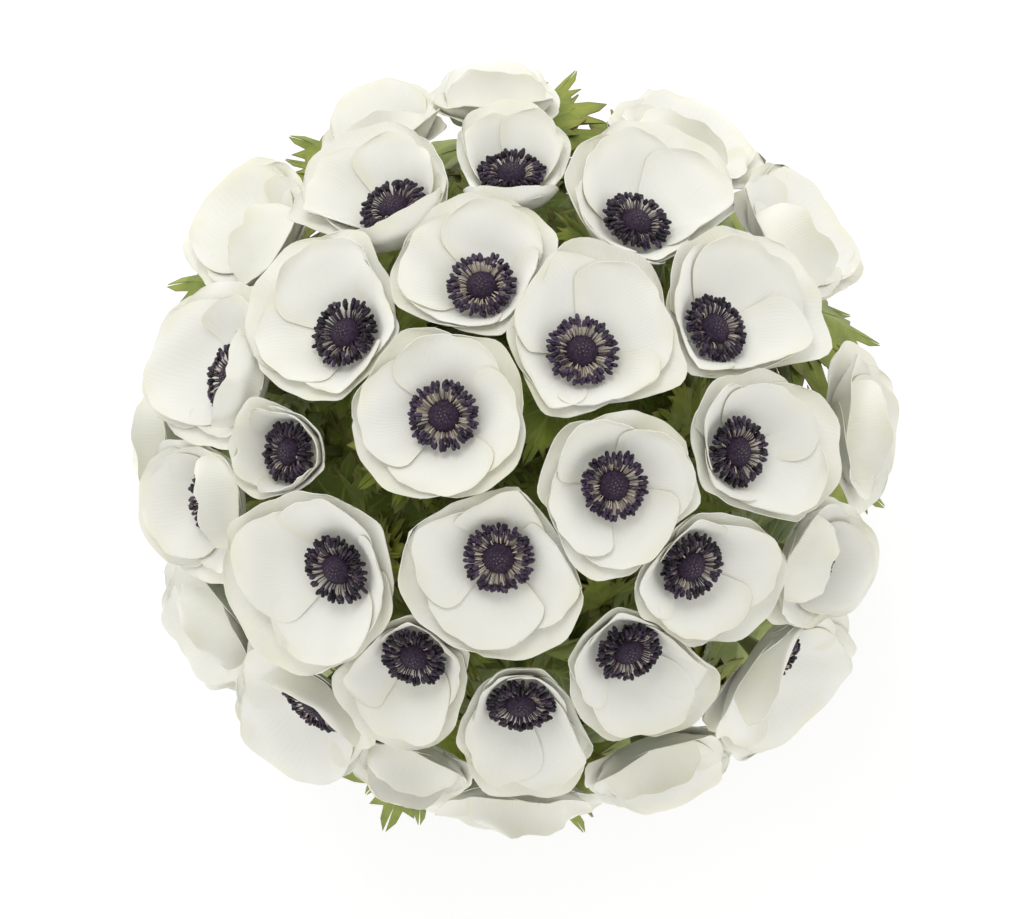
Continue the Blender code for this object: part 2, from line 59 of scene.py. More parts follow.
# Petals, in millimetres from their bloom's axis: a claw from the seat, then a blade. Shares are
# of a petal's length or half width. Pairs are for the outer and the inner whorl.
ROOT, CLAW = 1.5, 9.5
CLAW_SHARE, CLAW_WIDTH = 0.2, 0.5
PETAL_THICKNESS = 0.35
PETAL_ROWS, PETAL_COLUMNS = 24, 19
OUTER_PETALS, INNER_PETALS, SKIRT_INNER_PETALS = 4, 4, 3
PETAL_WIDTHS = (0.96, 0.82)
PETAL_SPREAD = 1.36
CAP_FROM = 0.74
INNER_WHORL_UP, INNER_WHORL_REACH = 1.5, 0.86
PETAL_TUCK = 0.55
SKIRT_FROM, SKIRT_SLACK = 50, 0.55

# How petals vary, from the lowest draw to the highest. A notch or curl below 0 is none.
LENGTHS, WIDTHS = (0.95, 1.03), (0.93, 1)
DEPTHS = [(0.85, 1), (1.05, 1.2)]
SPOONS = (0.4, 1.2)
TURNS, LEANS = (-0.08, 0.08), (-0.06, 0.06)
NOTCHES, CURLS = (-1.5, 1.6), (-1.5, 2.2)
NOTCH_WIDTH, NOTCH_SHARP = 0.16, 4
CURL_FROM = 0.5

# Waves: their size in millimetres, and how fast they turn. Those of the edge run out and in, its
# lift and the swell of the whole bloom up and down.
EDGE_FROM = 0.6
EDGE_WAVE, EDGE_WAVE_FAST = 0.5, 4.3
EDGE_RIPPLE, EDGE_RIPPLE_FAST = 0.3, 9.7
EDGE_LIFT, LIFT_ACROSS, LIFT_ALONG = 0.35, 6, 5
SWELL, SWELL_X, SWELL_Y = 0.8, 0.17, 0.15
SHORT_SWELL, SHORT_SWELL_X, SHORT_SWELL_Y = 0.45, 0.31, 0.22

# Cup that the petals make: flat to a radius in millimetres, then rising. Blooms high on the
# dome open into shallower saucers.
FLAT_BASE = 14.0
CUP_STRAIGHT, CUP_FLARE = 0.4, 0.05
SAUCER, SAUCER_FROM, SAUCER_TO = 0.5, 20, 62

# Hood of petals over a heart: it starts to bend at a radius in millimetres, and is bent so far
# on. A full hood is so much shallower, wraps so far round the heart and has so long a cap more.
HOOD_FROM, HOOD_OVER = 19, 7
HOOD_SHALLOWER, HOOD_WRAPS, HOOD_ROUNDER = 0.6, 0.6, 0.35

# How far petals reach to fill their outline in the photo, at most so many times their radius
PETAL_MOST, HOOD_MOST = 1.4, 1.22
OUTLINE_POWER, OUTLINE_MORE = 2.15, 1.08
OUTLINE_HALVINGS, REACH_ROUNDS = 16, 3
HEART_ROOM = 17.5

# Walls between two blooms: the room in millimetres that petals leave them, and how they lean
WALL_ROOM, LAYER_ROOM = 0.25, 0.5
NEIGHBOUR_WITHIN = 1.5
CONTACT_UP = 0.4
LEAN_OVER, LEAN_BESIDE = 50, 44
SIDE_BY_SIDE = 6
SMALL_BLOOM = 30
SHORTER_IS_LOWER = 0.75
WALL_SOFTNESS, REACH_SOFTNESS = 20, 32
WALL_ROUNDS = 6
FACING_LEAST, NO_WALL = 0.05, 10

# Heart of the bloom, in millimetres: the boss of pistils with its short styles
HUB_LOW = -3.0
FULL_HEART_FROM, HEART_GROWS = 40, 0.45
HEART_SHINE = 0.3
BOSS_RADIUS, BOSS_LOW, BOSS_TALL = 6.9, 3.6, 6.6
BOSS_RINGS, BOSS_SIDES = 9, 20
BOSS_ROUND, BOSS_FALL = 0.62, 0.75
STYLES, STYLE_SIDES, STYLE_LENGTH = 150, 5, 0.9
STYLE_STEPS, STYLE_RADII = (0, 0.6, 1.0), (0.42, 0.378, 0.12)
STYLES_SUNK = (0.97, 0.97, 0.93)

# Rows of stamens: how many, how far out and how high. Steps are shares of the length of a
# filament or an anther.
STAMEN_ROWS = [(24, 11.0, 8.6), (38, 12.4, 7.9), (44, 13.6, 6.9)]
STAMEN_ROOT, STAMEN_ROOT_HIGH = 4.6, 3.0
STAMEN_SIDES = 6
FILAMENT_RADIUS = 0.27
FILAMENT_STEPS = np.array([0.0, 0.35, 0.65, 0.86])
FILAMENT_ARCH, FILAMENT_RISE = 1.25, 1.05
ANTHER_LENGTH, ANTHER_RADIUS = 3.3, 0.95
ANTHER_STEPS = np.array([0.0, 0.12, 0.35, 0.65, 0.88, 1.0])
ANTHER_SWELL = np.array([0.35, 0.8, 1.0, 1.0, 0.75, 0.1])
STAMEN_APART, STAMEN_STRAY, STAMEN_SKEW = 0.35, 0.45, 0.05
ANTHER_PITCH = 0.35
# Tilt in degrees past which hearts get painted shade, and how much painted shade goes on their tone
SHADED_FROM_TILT, TILTED_HEART_SHADE = 30, 0.45
STAMEN_SEED = 100

# Stems, bound at the tie and cut level at the foot
STEM_RADIUS = 2.5 * MM
STEM_SIDES, STEM_RINGS, RINGS_BELOW_TIE = 12, 28, 9
STEM_TOP_GAP = 0.35 * MM
BEND_HIGH, BEND_LOW = 0.42, 0.40
TIE_HEIGHT = 96 * MM
TIE_SPACING = 5.3 * MM
TIE_ROWS = range(-4, 5)
TIE_RIM_FROM = 75
FOOT_SPREAD = 2.6
SPIRAL_ABOVE, SPIRAL_BELOW = 50, 45
SEAT_RADIUS, SEAT_TALL, SEAT_FALL = 4.2 * MM, 7 * MM, 0.45

# Collars of leaves. Lengths are in millimetres, and a leaf's own sizes are parts of its length.
COLLAR_BELOW = 25 * MM
COLLAR_LEAVES = 3
COLLAR_LENGTH, COLLAR_LONGER = 14.0, 15.0
COLLAR_RISE = 0.3
LEAF_THICKNESS = 0.45
LEAF_COLUMNS = 7
LEAF_ARCH, LEAF_FOLD, LEAF_DROOP = 0.06, 0.2, 0.25
LEAF_WAVE, LEAF_WAVE_FAST = 0.02, 9
LEAF_TONES = (0, 0.5)
LEAF_SHINE = 0.35
RIB_NARROWS, RIB_FADES = 1.6, 0.3
LEAVES_UNDER = 3 * MM

# Leaves that reach the corners between three blooms, and the ones deep under the dome
CORNER_NEAR, CORNER_REACH, CORNER_DEEP = 1.2, 0.66, 11 * MM
CORNER_WIDEST = 100
DEEP_LEAVES = 6
DEEP_TURN, DEEP_REACH, DEEP_DOWN = (-0.3, 0.3), (34, 46), (14, 22)
# How much wider deep leaves are, and the painted shade on the tone of corner and of deep leaves
DEEP_WIDER, CORNER_SHADE, DEEP_SHADE = 1.7, 0.6, 0.9

# Leaves whose tips show: how far past their spot they reach, how much wider they are, and their
# painted shade, which is below 0 and paints them lighter, as if lit. Each has a leaf on both sides:
# its turn in degrees and its length
SHOWS_PAST, SHOWING_WIDER, SHOWING_SHADE = 1.3, 1.3, -0.3
COMPANIONS, PAST_EDGE_TURN = [(-22, 0.8), (20, 0.88)], 0.5

Lobe = namedtuple("Lobe", "start turn reach")

# A leaf's lobes: where each leaves the midrib, its turn from it in degrees, and its length.
# Each has rows of points: steps along the midrib, turn from the lobe's rib, share of its length.
LOBES = [Lobe(0.16, 80, 0.32), Lobe(0.28, 54, 0.46), Lobe(0.44, 34, 0.42)]
LOBE_ROWS = [(-3, 24, 0.84), (-2, 12, 0.66), (-1, 7, 0.84), (0, 0, 1),
             (1, -7, 0.84), (2, -12, 0.66), (3, -24, 0.84)]
ROW_STEP = 0.012
SINUS_STEPS, SINUS_ON, SINUS_REACH = 4, 0.05, 0.1

# The lobe at the leaf's tip: how far on each row starts, its turn and its share of the length
TERMINAL_FROM = 0.58
TERMINAL_ROWS = [(0, 17, 0.68), (0.04, 9, 0.54), (0.1, 5, 0.8)]
TIP_ON, TIP_WIDTH, FOOT_WIDTH = 0.2, 0.005, 0.02

# Twine tie, with the knot's bearing in degrees and the path of its loose ends in millimetres
TWINE_RADIUS = 1.5 * MM
TIE_TURNS, TURN_STEPS = 3, 145
STEM_IN_TIE, TIE_ROOM = 2.6 * MM, 1.3 * MM
KNOT_BEARING = -62
KNOT_SIZE, KNOT_OUT, KNOT_STEPS = 5.5 * MM, 0.5 * MM, 97
KNOT_DEEP, KNOT_SHARES, KNOT_TWINE = 0.55, (0.8, 1.0, 0.85), 0.9
TWINE_END = [(3.5, 6, -9), (6, 11, -27)]
SHORT_END, END_BOW, END_TWINE, END_STEPS = 0.8, 1.25, 0.8, 40
PLY_TWIST, PLY_SIDES = 7 * MM, 8
PLY_OUT, PLY_RADIUS, FIBRE_LAY = 0.5, 0.56, 0.08

# Meshes: how far the thickness of a blade is turned to what the blade faces, and sharp edges
BLADE_FACES = 0.2
SHARP_FROM = math.radians(55)

# Camera straight above, far off so that the whole bouquet is drawn nearly without perspective
CAMERA_AT = Vector((-1.7 * MM, -4.7 * MM, 3.8))
CAMERA_SEES = 20
LENS, SENSOR = 296, 36
PHOTO_SIZE = (1024, 919)

# Light: a surround that is stronger from below, a wide soft lamp high up at one side, and a
# floor that glows enough to stay white
SURROUND_ABOVE, SURROUND_BELOW, SURROUND_TO = 0.6, 1.25, 0.9
KEY_AT, KEY_SIZE, KEY_POWER = (-0.4, 1.3, 1.8), 1.0, 9
FLOOR_SIZE, FLOOR_GLOW = 6.0, 0.37

Bloom = namedtuple("Bloom", "name bearing tilt radius depth turn hood outline")

# Bearing round the dome from +X, tilt from upright, and the turn of the first petal are in
# degrees. Radius and depth of the open cup are in millimetres. Hood is how far the upper petals
# bend over the heart and hide it from above, where 1 is a quarter turn. The outline is the left,
# right, top and bottom of the bloom in the photo, in pixels. Its sides that other blooms hide
# are guessed.
BLOOMS = [
    Bloom("crown_1", 56, 18, 40, 14, 20, 0, (499, 685, 240, 420)),
    Bloom("crown_2", 156, 12, 39, 13, 65, 0, (352, 526, 329, 500)),
    Bloom("crown_3", 261, 17, 41, 14, 40, 0, (404, 591, 475, 658)),
    Bloom("crown_4", 339, 16, 37, 14, 0, 0, (538, 700, 415, 575)),
    Bloom("ring_01", 102, 26, 37, 15, 10, 0, (393, 563, 195, 333)),
    Bloom("ring_02", 31, 38, 39, 15, 50, 0, (664, 825, 225, 383)),
    Bloom("ring_03", 359, 36, 38, 16, 30, 0, (690, 835, 370, 535)),
    Bloom("ring_04", 326, 34, 36, 16, 15, 0, (632, 785, 512, 645)),
    Bloom("ring_05", 299, 38, 35, 15, 60, 0, (567, 718, 603, 738)),
    Bloom("ring_06", 271, 43, 36, 15, 0, 0, (453, 603, 657, 802)),
    Bloom("ring_07", 244, 38, 34, 15, 35, 0, (332, 468, 613, 752)),
    Bloom("ring_08", 214, 35, 39, 15, 20, 0, (212, 396, 490, 672)),
    Bloom("ring_09", 181, 37, 27, 18, 45, 0, (233, 335, 388, 507)),
    Bloom("ring_10", 146, 33, 39, 15, 5, 0, (250, 412, 233, 400)),
    Bloom("ring_11", 117, 46, 37, 14, 55, 0.9, (297, 450, 127, 243)),
    Bloom("ring_12", 91, 47, 34, 14, 25, 0.85, (445, 575, 105, 210)),
    Bloom("ring_13", 62, 43, 39, 15, 40, 0.5, (560, 742, 125, 268)),
    Bloom("skirt_01", 3, 72, 38, 15, 10, 1.0, (780, 896, 345, 512)),
    Bloom("skirt_02", 36, 70, 40, 14, 50, 1.15, (712, 866, 158, 303)),
    Bloom("skirt_03", 61, 74, 36, 14, 30, 1.05, (600, 766, 88, 220)),
    Bloom("skirt_04", 93, 77, 36, 15, 0, 1.0, (424, 560, 61, 175)),
    Bloom("skirt_05", 113, 72, 34, 15, 60, 1.15, (325, 466, 80, 185)),
    Bloom("skirt_06", 141, 64, 39, 14, 20, 1.35, (188, 312, 158, 300)),
    Bloom("skirt_07", 166, 52, 37, 14, 40, 1.0, (144, 285, 283, 445)),
    Bloom("skirt_08", 180, 84, 35, 14, 10, 0.8, (131, 225, 370, 500)),
    Bloom("skirt_09", 190, 57, 35, 14, 50, 1.15, (141, 265, 425, 578)),
    Bloom("skirt_10", 210, 74, 38, 14, 15, 1.0, (163, 320, 530, 690)),
    Bloom("skirt_11", 232, 64, 39, 14, 35, 0.72, (232, 400, 615, 787)),
    Bloom("skirt_12", 252, 69, 35, 14, 55, 1.2, (355, 475, 705, 804)),
    Bloom("skirt_13", 270, 82, 37, 14, 5, 1.0, (410, 610, 745, 828)),
    Bloom("skirt_14", 293, 74, 36, 14, 25, 1.0, (580, 735, 672, 812)),
    Bloom("skirt_15", 320, 70, 40, 15, 45, 0.7, (668, 854, 585, 764)),
    Bloom("skirt_16", 339, 60, 36, 14, 20, 1.35, (740, 876, 495, 624)),
]

Spot = namedtuple("Spot", "under bearing tilt reach")

# Where the longest leaves under some blooms show their tips, between the blooms or, where the
# reach from the dome's centre, in millimetres, is more than its radius, past them
SHOWING = [
    Spot("crown_1", 14, 3, 147),
    Spot("crown_2", 191, 24, 147),
    Spot("ring_02", 52, 37, 147),
    Spot("ring_03", 19, 29, 147),
    Spot("ring_05", 300, 26, 147),
    Spot("ring_06", 283, 32, 147),
    Spot("ring_07", 261, 37, 147),
    Spot("ring_08", 227, 29, 147),
    Spot("ring_10", 128, 23, 147),
    Spot("ring_11", 135, 57, 138),
    Spot("ring_13", 77, 38, 147),
    Spot("skirt_07", 151, 58, 138),
    Spot("skirt_11", 244, 77, 132),
    Spot("skirt_15", 308, 66, 134),
    Spot("skirt_01", 351, 96, 162),
    Spot("skirt_02", 16, 95, 164),
    Spot("skirt_03", 72, 96, 158),
    Spot("skirt_04", 81, 95, 166),
    Spot("skirt_05", 126, 96, 167),
    Spot("skirt_06", 155, 94, 166),
    Spot("skirt_10", 197, 94, 159),
    Spot("skirt_12", 251, 98, 177),
    Spot("skirt_13", 280, 99, 171),
    Spot("skirt_02", 45, 104, 150),
    Spot("skirt_05", 104, 105, 140),
    Spot("skirt_11", 229, 102, 128),
    Spot("skirt_14", 290, 104, 150),
    Spot("skirt_14", 300, 104, 150),
    Spot("skirt_15", 316, 104, 146),
    Spot("skirt_16", 324, 98, 134),
]

# Blooms that press together so closely that they share one solid
PAIRS = ["ring_02_03", "ring_04_05", "ring_07_08", "ring_11_12",
         "skirt_04_05", "skirt_07_09", "skirt_11_12", "skirt_15_16"]


# Sums

def smooth_step(value):
    value = np.clip(value, 0, 1)
    return value * value * (3 - 2 * value)


def polar(radius, angle):
    """The point at this radius, with the angle in degrees."""
    return radius * math.cos(math.radians(angle)), radius * math.sin(math.radians(angle))


# Where each bloom sits and what room it has

def axis_of(spot):
    """The way out from the dome's centre at a bloom's or spot's bearing and tilt."""
    bearing, tilt = math.radians(spot.bearing), math.radians(spot.tilt)
    flat = math.sin(tilt)
    return Vector((flat * math.cos(bearing), flat * math.sin(bearing), math.cos(tilt)))


def dome_radius(tilt):
    fall = smooth_step((tilt - SKIRT_STARTS) / (SKIRT_ENDS - SKIRT_STARTS))
    return DOME_RADIUS + (SKIRT_RADIUS - DOME_RADIUS) * fall


def heart_of(bloom):
    return DOME_CENTRE + axis_of(bloom) * dome_radius(bloom.tilt)


def frame_of(bloom):
    """The bloom's own frame: Z out of the cup, X down the dome."""
    axis = axis_of(bloom)
    across = UP.cross(axis).normalized()
    down = across.cross(axis)
    turned = Matrix((down, across, axis)).transposed().to_4x4()
    return Matrix.Translation(heart_of(bloom)) @ turned


def walls_of(bloom):
    """Planes between this bloom and its near neighbours, in its own frame and millimetres.

    A bloom lower on the dome is overhung by the one above.
    """
    into = frame_of(bloom).inverted()
    walls = []
    here = axis_of(bloom)
    for other in BLOOMS:
        there = axis_of(other)
        apart = here.angle(there)
        both = (bloom.radius + other.radius) * MM
        if other == bloom or apart * DOME_RADIUS > NEIGHBOUR_WITHIN * both:
            continue
        steps = other.tilt - bloom.tilt
        overhung = abs(steps) > SIDE_BY_SIDE and min(bloom.radius, other.radius) > SMALL_BLOOM
        share = apart * bloom.radius / (bloom.radius + other.radius)
        side = (there - here * here.dot(there)).normalized()
        edge = here * math.cos(share) + side * math.sin(share)
        normal = side * math.cos(share) - here * math.sin(share)
        lean = LEAN_OVER if overhung else LEAN_BESIDE
        lean = math.radians(math.copysign(lean, steps or other.bearing - bloom.bearing))
        normal = normal * math.cos(lean) - edge * math.sin(lean)
        rise = CONTACT_UP * (bloom.depth + other.depth) / 2 * MM
        contact = into @ (DOME_CENTRE + edge * (DOME_RADIUS + rise)) / MM
        normal = into.to_3x3() @ normal
        walls.append((np.array(normal), normal.dot(contact)))
    return walls


def outline_reach(bloom, angle, brim, most):
    """How far the petals whose tips stand at brim reach, at each angle, to fill the outline."""
    heart = heart_of(bloom)
    pixel = SENSOR / LENS / PHOTO_SIZE[0] * (CAMERA_AT.z - heart.z) / MM
    offset = (CAMERA_AT - heart) / MM
    left, right, top, bottom = bloom.outline
    left, right = ((edge - PHOTO_SIZE[0] / 2) * pixel + offset.x for edge in (left, right))
    top, bottom = ((PHOTO_SIZE[1] / 2 - edge) * pixel + offset.y for edge in (top, bottom))
    down, across, axis = (np.array(frame_of(bloom).col[k]) for k in range(3))
    near, far = np.full(angle.shape, HEART_ROOM), np.full(angle.shape, bloom.radius * most)
    for _ in range(OUTLINE_HALVINGS):
        reach = (near + far) / 2
        x, y = (reach * (np.cos(angle) * down[k] + np.sin(angle) * across[k]) + brim * axis[k]
                for k in range(2))
        x = np.abs(x / np.where(x > 0, right, left))
        y = np.abs(y / np.where(y > 0, top, bottom))
        outside = x ** OUTLINE_POWER + y ** OUTLINE_POWER > OUTLINE_MORE ** OUTLINE_POWER
        near, far = np.where(outside, near, reach), np.where(outside, reach, far)
    return near


def limited(angle, height, walls, room, reach):
    """How far petals may reach towards each angle: softly the least of reach and walls."""
    total = 0
    for normal, offset in walls:
        facing = np.cos(angle) * normal[0] + np.sin(angle) * normal[1]
        away = (offset - room - normal[2] * height) / np.maximum(facing, FACING_LEAST)
        away = np.where(facing > FACING_LEAST, np.maximum(away, HEART_ROOM), NO_WALL * reach)
        total = total + away ** -WALL_SOFTNESS
    between = total ** (-1 / WALL_SOFTNESS)
    return (between ** -REACH_SOFTNESS + reach ** -REACH_SOFTNESS) ** (-1 / REACH_SOFTNESS)


def kept_inside(points, walls, room):
    """Points moved straight back to room millimetres inside every wall that they pass."""
    for _ in range(WALL_ROUNDS):
        for normal, offset in walls:
            past = points @ normal - (offset - room)
            points = points - normal * np.maximum(past, 0)[..., None]
    return points


# Meshes

def placed(name, data):
    """A new object of the scene that shows this mesh, lamp or camera."""
    made = bpy.data.objects.new(name, data)
    bpy.context.scene.collection.objects.link(made)
    return made


class Shape:
    """Points, faces and marks of one piece, gathered part by part."""

    def __init__(self):
        self.points, self.faces, self.finishes, self.marks = [], [], [], {}
        self.count = 0

    def add(self, points, faces, **marks):
        """Adds points in millimetres, the faces between them and a mark for every point."""
        points = np.asarray(points, dtype=float).reshape(-1, 3)
        self.points.append(points)
        self.faces += [[corner + self.count for corner in face] for face in faces]
        self.finishes += [0] * len(faces)
        self.count += len(points)
        for name, values in marks.items():
            values = np.broadcast_to(np.asarray(values, dtype=float).ravel(), (len(points),))
            self.marks.setdefault(name, []).append(values)

    def piece(self, name, finishes, slot, nodes, place=Matrix.Identity(4)):
        """Makes the piece, in the place given, which stands for the nodes named. The slot is not
        used.
        """
        mesh = bpy.data.meshes.new(name)
        mesh.from_pydata((np.concatenate(self.points) * MM).tolist(), [], self.faces)
        mesh.transform(place)
        for mark, values in self.marks.items():
            layer = mesh.attributes.new(mark, "FLOAT", "POINT")
            layer.data.foreach_set("value", np.concatenate(values))
        for look in finishes:
            mesh.materials.append(FINISHES[look])
        mesh.polygons.foreach_set("material_index", self.finishes)
        mesh.shade_smooth()
        mesh.set_sharp_from_angle(angle=SHARP_FROM)
        made = placed(name, mesh)
        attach(made, "root")
        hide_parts(*nodes)


def unit(vectors):
    return vectors / np.maximum(np.linalg.norm(vectors, axis=-1, keepdims=True), 1e-9)


def blade(sheet, thickness, facing):
    """Points and faces of a thin blade round a grid of points, its top to facing."""
    rows, columns = sheet.shape[:2]
    normal = np.cross(np.gradient(sheet, axis=0), np.gradient(sheet, axis=1))
    normal = unit(unit(normal) + BLADE_FACES * facing) * thickness / 2
    top = np.arange(rows * columns).reshape(rows, columns)
    low = top + rows * columns
    quads = [
        np.stack([top[:-1, :-1], top[1:, :-1], top[1:, 1:], top[:-1, 1:]], -1).reshape(-1, 4),
        np.stack([low[:-1, :-1], low[:-1, 1:], low[1:, 1:], low[1:, :-1]], -1).reshape(-1, 4),
    ]
    rim = np.concatenate([top[:, 0], top[-1, 1:], top[-2::-1, -1], top[0, -2:0:-1]])
    ahead = np.roll(rim, -1)
    quads.append(np.stack([rim + rows * columns, ahead + rows * columns, ahead, rim], -1))
    return np.stack([sheet + normal, sheet - normal]), np.concatenate(quads).tolist()


def swept(lines, radii, sides, side):
    """Points and faces of round rods along lines of points, with a radius at each point.

    Lines are an array of line by point by axis. Side is a vector across each line.
    """
    lines = np.asarray(lines, dtype=float)
    count, length = lines.shape[:2]
    ahead = unit(np.gradient(lines, axis=1))
    side = unit(side - ahead * (side * ahead).sum(-1, keepdims=True))
    other = np.cross(ahead, side)
    angle = FULL_TURN * np.arange(sides) / sides
    radii = np.broadcast_to(radii, (count, length))[..., None, None]
    ring = np.cos(angle)[:, None] * side[..., None, :] + np.sin(angle)[:, None] * other[..., None, :]
    points = lines[:, :, None, :] + radii * ring
    index = np.arange(count * length * sides).reshape(count, length, sides)
    turned = np.roll(index, -1, axis=2)
    walls = np.stack([index[:, :-1], turned[:, :-1], turned[:, 1:], index[:, 1:]], -1)
    faces = walls.reshape(-1, 4).tolist()
    faces += index[:, 0, ::-1].tolist() + index[:, -1].tolist()
    return points.reshape(-1, 3), faces


def carried(line, first=(1, 0, 0)):
    """A vector across a line at each of its points, which turns with it and doesn't twist."""
    ahead = unit(np.gradient(line, axis=0))
    side = np.array(first, dtype=float)
    sides = []
    for way in ahead:
        side = unit(side - way * side.dot(way))
        sides.append(side)
    return np.array(sides)


# Finishes

class Nodes:
    """Adds nodes to a shader tree and feeds their inputs."""

    def __init__(self, tree):
        self.tree = tree

    def add(self, kind, feeds=None, **settings):
        made = self.tree.nodes.new(kind)
        for name, value in settings.items():
            setattr(made, name, value)
        for socket, source in (feeds or {}).items():
            self.feed(made.inputs[socket], source)
        return made

    def feed(self, socket, source):
        if isinstance(source, bpy.types.NodeSocket):
            self.tree.links.new(source, socket)
        elif socket.type == "RGBA":
            socket.default_value = (*source, 1)
        else:
            socket.default_value = source

    def mark(self, name):
        """The value of a mark that the mesh carries."""
        return self.add("ShaderNodeAttribute", attribute_name=name).outputs["Fac"]

    def sum(self, operation, *values):
        return self.add("ShaderNodeMath", dict(enumerate(values)), operation=operation).outputs[0]

    def times(self, first, second):
        return self.sum("MULTIPLY", first, second)

    def line(self, value, slope, start):
        return self.sum("MULTIPLY_ADD", value, slope, start)

    def ramp(self, value, start, end):
        """0 up to start and 1 from end on, smooth between them."""
        feeds = {"Value": value, "From Min": start, "From Max": end}
        made = self.add("ShaderNodeMapRange", feeds, interpolation_type="SMOOTHSTEP")
        return made.outputs["Result"]

    def mix(self, share, first, second):
        """The first colour where share is 0, the second where it is 1."""
        made = self.add("ShaderNodeMix", {0: share, 6: first, 7: second}, data_type="RGBA")
        return made.outputs[2]

    def group(self, tree, feeds):
        made = self.add("ShaderNodeGroup", node_tree=tree)
        for name, source in feeds.items():
            self.feed(made.inputs[name], source)
        return made.outputs

    def mottle(self, first, second, scale, share=1.0):
        """Clouds of the second colour on the first."""
        feeds = {"First": first, "Second": second, "Scale": scale, "Share": share}
        return self.group(MOTTLE, feeds)

    def lines(self, across, count, wander, scale):
        """Fine lines where the mark named across stays the same."""
        feeds = {"Across": self.mark(across), "Count": count, "Wander": wander, "Scale": scale}
        return self.group(LINES, feeds)["Line"]

    def relief(self, height, depth, strength):
        """The normal of a surface that is raised by depth metres where height is 1."""
        feeds = {"Height": height, "Distance": depth, "Strength": strength}
        return self.add("ShaderNodeBump", feeds).outputs["Normal"]


def shader_group(name, takes, gives):
    """An empty node group with the named sockets, and its nodes, input and output."""
    tree = bpy.data.node_groups.new(name, "ShaderNodeTree")
    for title, kind in takes.items():
        tree.interface.new_socket(title, in_out="INPUT", socket_type="NodeSocket" + kind)
    for title, kind in gives.items():
        tree.interface.new_socket(title, in_out="OUTPUT", socket_type="NodeSocket" + kind)
    nodes = Nodes(tree)
    return nodes, nodes.add("NodeGroupInput").outputs, nodes.add("NodeGroupOutput").inputs


def mottle_group():
    """Cloudy change from one colour to another over the surface."""
    takes = {"First": "Color", "Second": "Color", "Scale": "Float", "Share": "Float"}
    nodes, takes, gives = shader_group("Mottle", takes, {"Colour": "Color", "Cloud": "Float"})
    place = nodes.add("ShaderNodeTexCoord").outputs["Object"]
    feeds = {"Vector": place, "Scale": takes["Scale"], "Detail": 4.0}
    cloud = nodes.add("ShaderNodeTexNoise", feeds).outputs["Fac"]
    cloud = nodes.ramp(cloud, 0.3, 0.7)
    share = nodes.times(cloud, takes["Share"])
    nodes.feed(gives["Colour"], nodes.mix(share, takes["First"], takes["Second"]))
    nodes.feed(gives["Cloud"], cloud)
    return nodes.tree


def lines_group():
    """Fine lines that run where a mark stays the same, such as veins, ribs or twisted fibres."""
    takes = {"Across": "Float", "Count": "Float", "Wander": "Float", "Scale": "Float"}
    nodes, takes, gives = shader_group("Fine lines", takes, {"Line": "Float"})
    place = nodes.add("ShaderNodeTexCoord").outputs["Object"]
    feeds = {"Vector": place, "Scale": takes["Scale"], "Detail": 2.0}
    drift = nodes.add("ShaderNodeTexNoise", feeds).outputs["Fac"]
    drift = nodes.times(drift, takes["Wander"])
    turns = nodes.times(takes["Across"], takes["Count"])
    turns = nodes.times(nodes.sum("ADD", turns, drift), FULL_TURN)
    nodes.feed(gives["Line"], nodes.line(nodes.sum("SINE", turns), 0.5, 0.5))
    return nodes.tree


MOTTLE, LINES = mottle_group(), lines_group()


def petal_look(nodes):
    """White with a hint of cream, faint veins, a thin ivory rim, and a greenish throat darkened with
    painted shade near the heart.
    """
    veins = nodes.lines("across", count=19, wander=2.2, scale=50)
    skin = nodes.mottle((0.93, 0.93, 0.865), (0.90, 0.895, 0.785), 45, nodes.mark("tone"))
    veined = nodes.mix(nodes.times(veins, 0.15), skin["Colour"], (0.84, 0.84, 0.77))
    rim = nodes.times(nodes.ramp(nodes.mark("rim"), 0.72, 1.0), skin["Cloud"])
    rim = nodes.line(rim, 0.55, 0.05)
    rimmed = nodes.mix(rim, veined, (0.87, 0.84, 0.63))
    # Throat: a greenish tint at the petal's base and painted shade cast by the stamens, in streaks
    # along the veins
    throat_tint_and_shade = nodes.ramp(nodes.mark("along"), 0.48, 0.12)
    throat_tint_and_shade = nodes.times(throat_tint_and_shade, nodes.line(veins, 0.6, 0.2))
    return nodes.mix(throat_tint_and_shade, rimmed, (0.55, 0.57, 0.42)), nodes.relief(veins, 0.08 * MM, 0.45)


def boss_look(nodes):
    """Dark aubergine velvet with an olive grey top."""
    skin = nodes.mottle((0.016, 0.008, 0.022), (0.05, 0.03, 0.06), 900)["Colour"]
    top = nodes.times(nodes.ramp(nodes.mark("middle"), 0.5, 0.95), 0.85)
    return nodes.mix(top, skin, (0.22, 0.185, 0.16)), None


def stamen_look(nodes):
    """Pale or dark filaments that carry dark aubergine anthers, some of them nearly black, both
    darker under painted shade on tilted blooms.
    """
    anther_dust_and_shade = nodes.mottle((0.008, 0.005, 0.016), (0.105, 0.066, 0.12), 700)["Colour"]
    # Tone darkens anthers to nearly black and filaments to dark: a random tone, plus painted shade
    # on tilted blooms
    deep = nodes.ramp(nodes.mark("tone"), 0.4, 1.3)
    anther_dust_and_shade = nodes.mix(deep, anther_dust_and_shade, (0.006, 0.004, 0.007))
    dark_and_shaded_stalk = nodes.ramp(nodes.mark("tone"), 0.5, 0.8)
    stalk = nodes.mix(dark_and_shaded_stalk, (0.60, 0.52, 0.42), (0.07, 0.04, 0.07))
    return nodes.mix(nodes.mark("anther"), stalk, anther_dust_and_shade), None


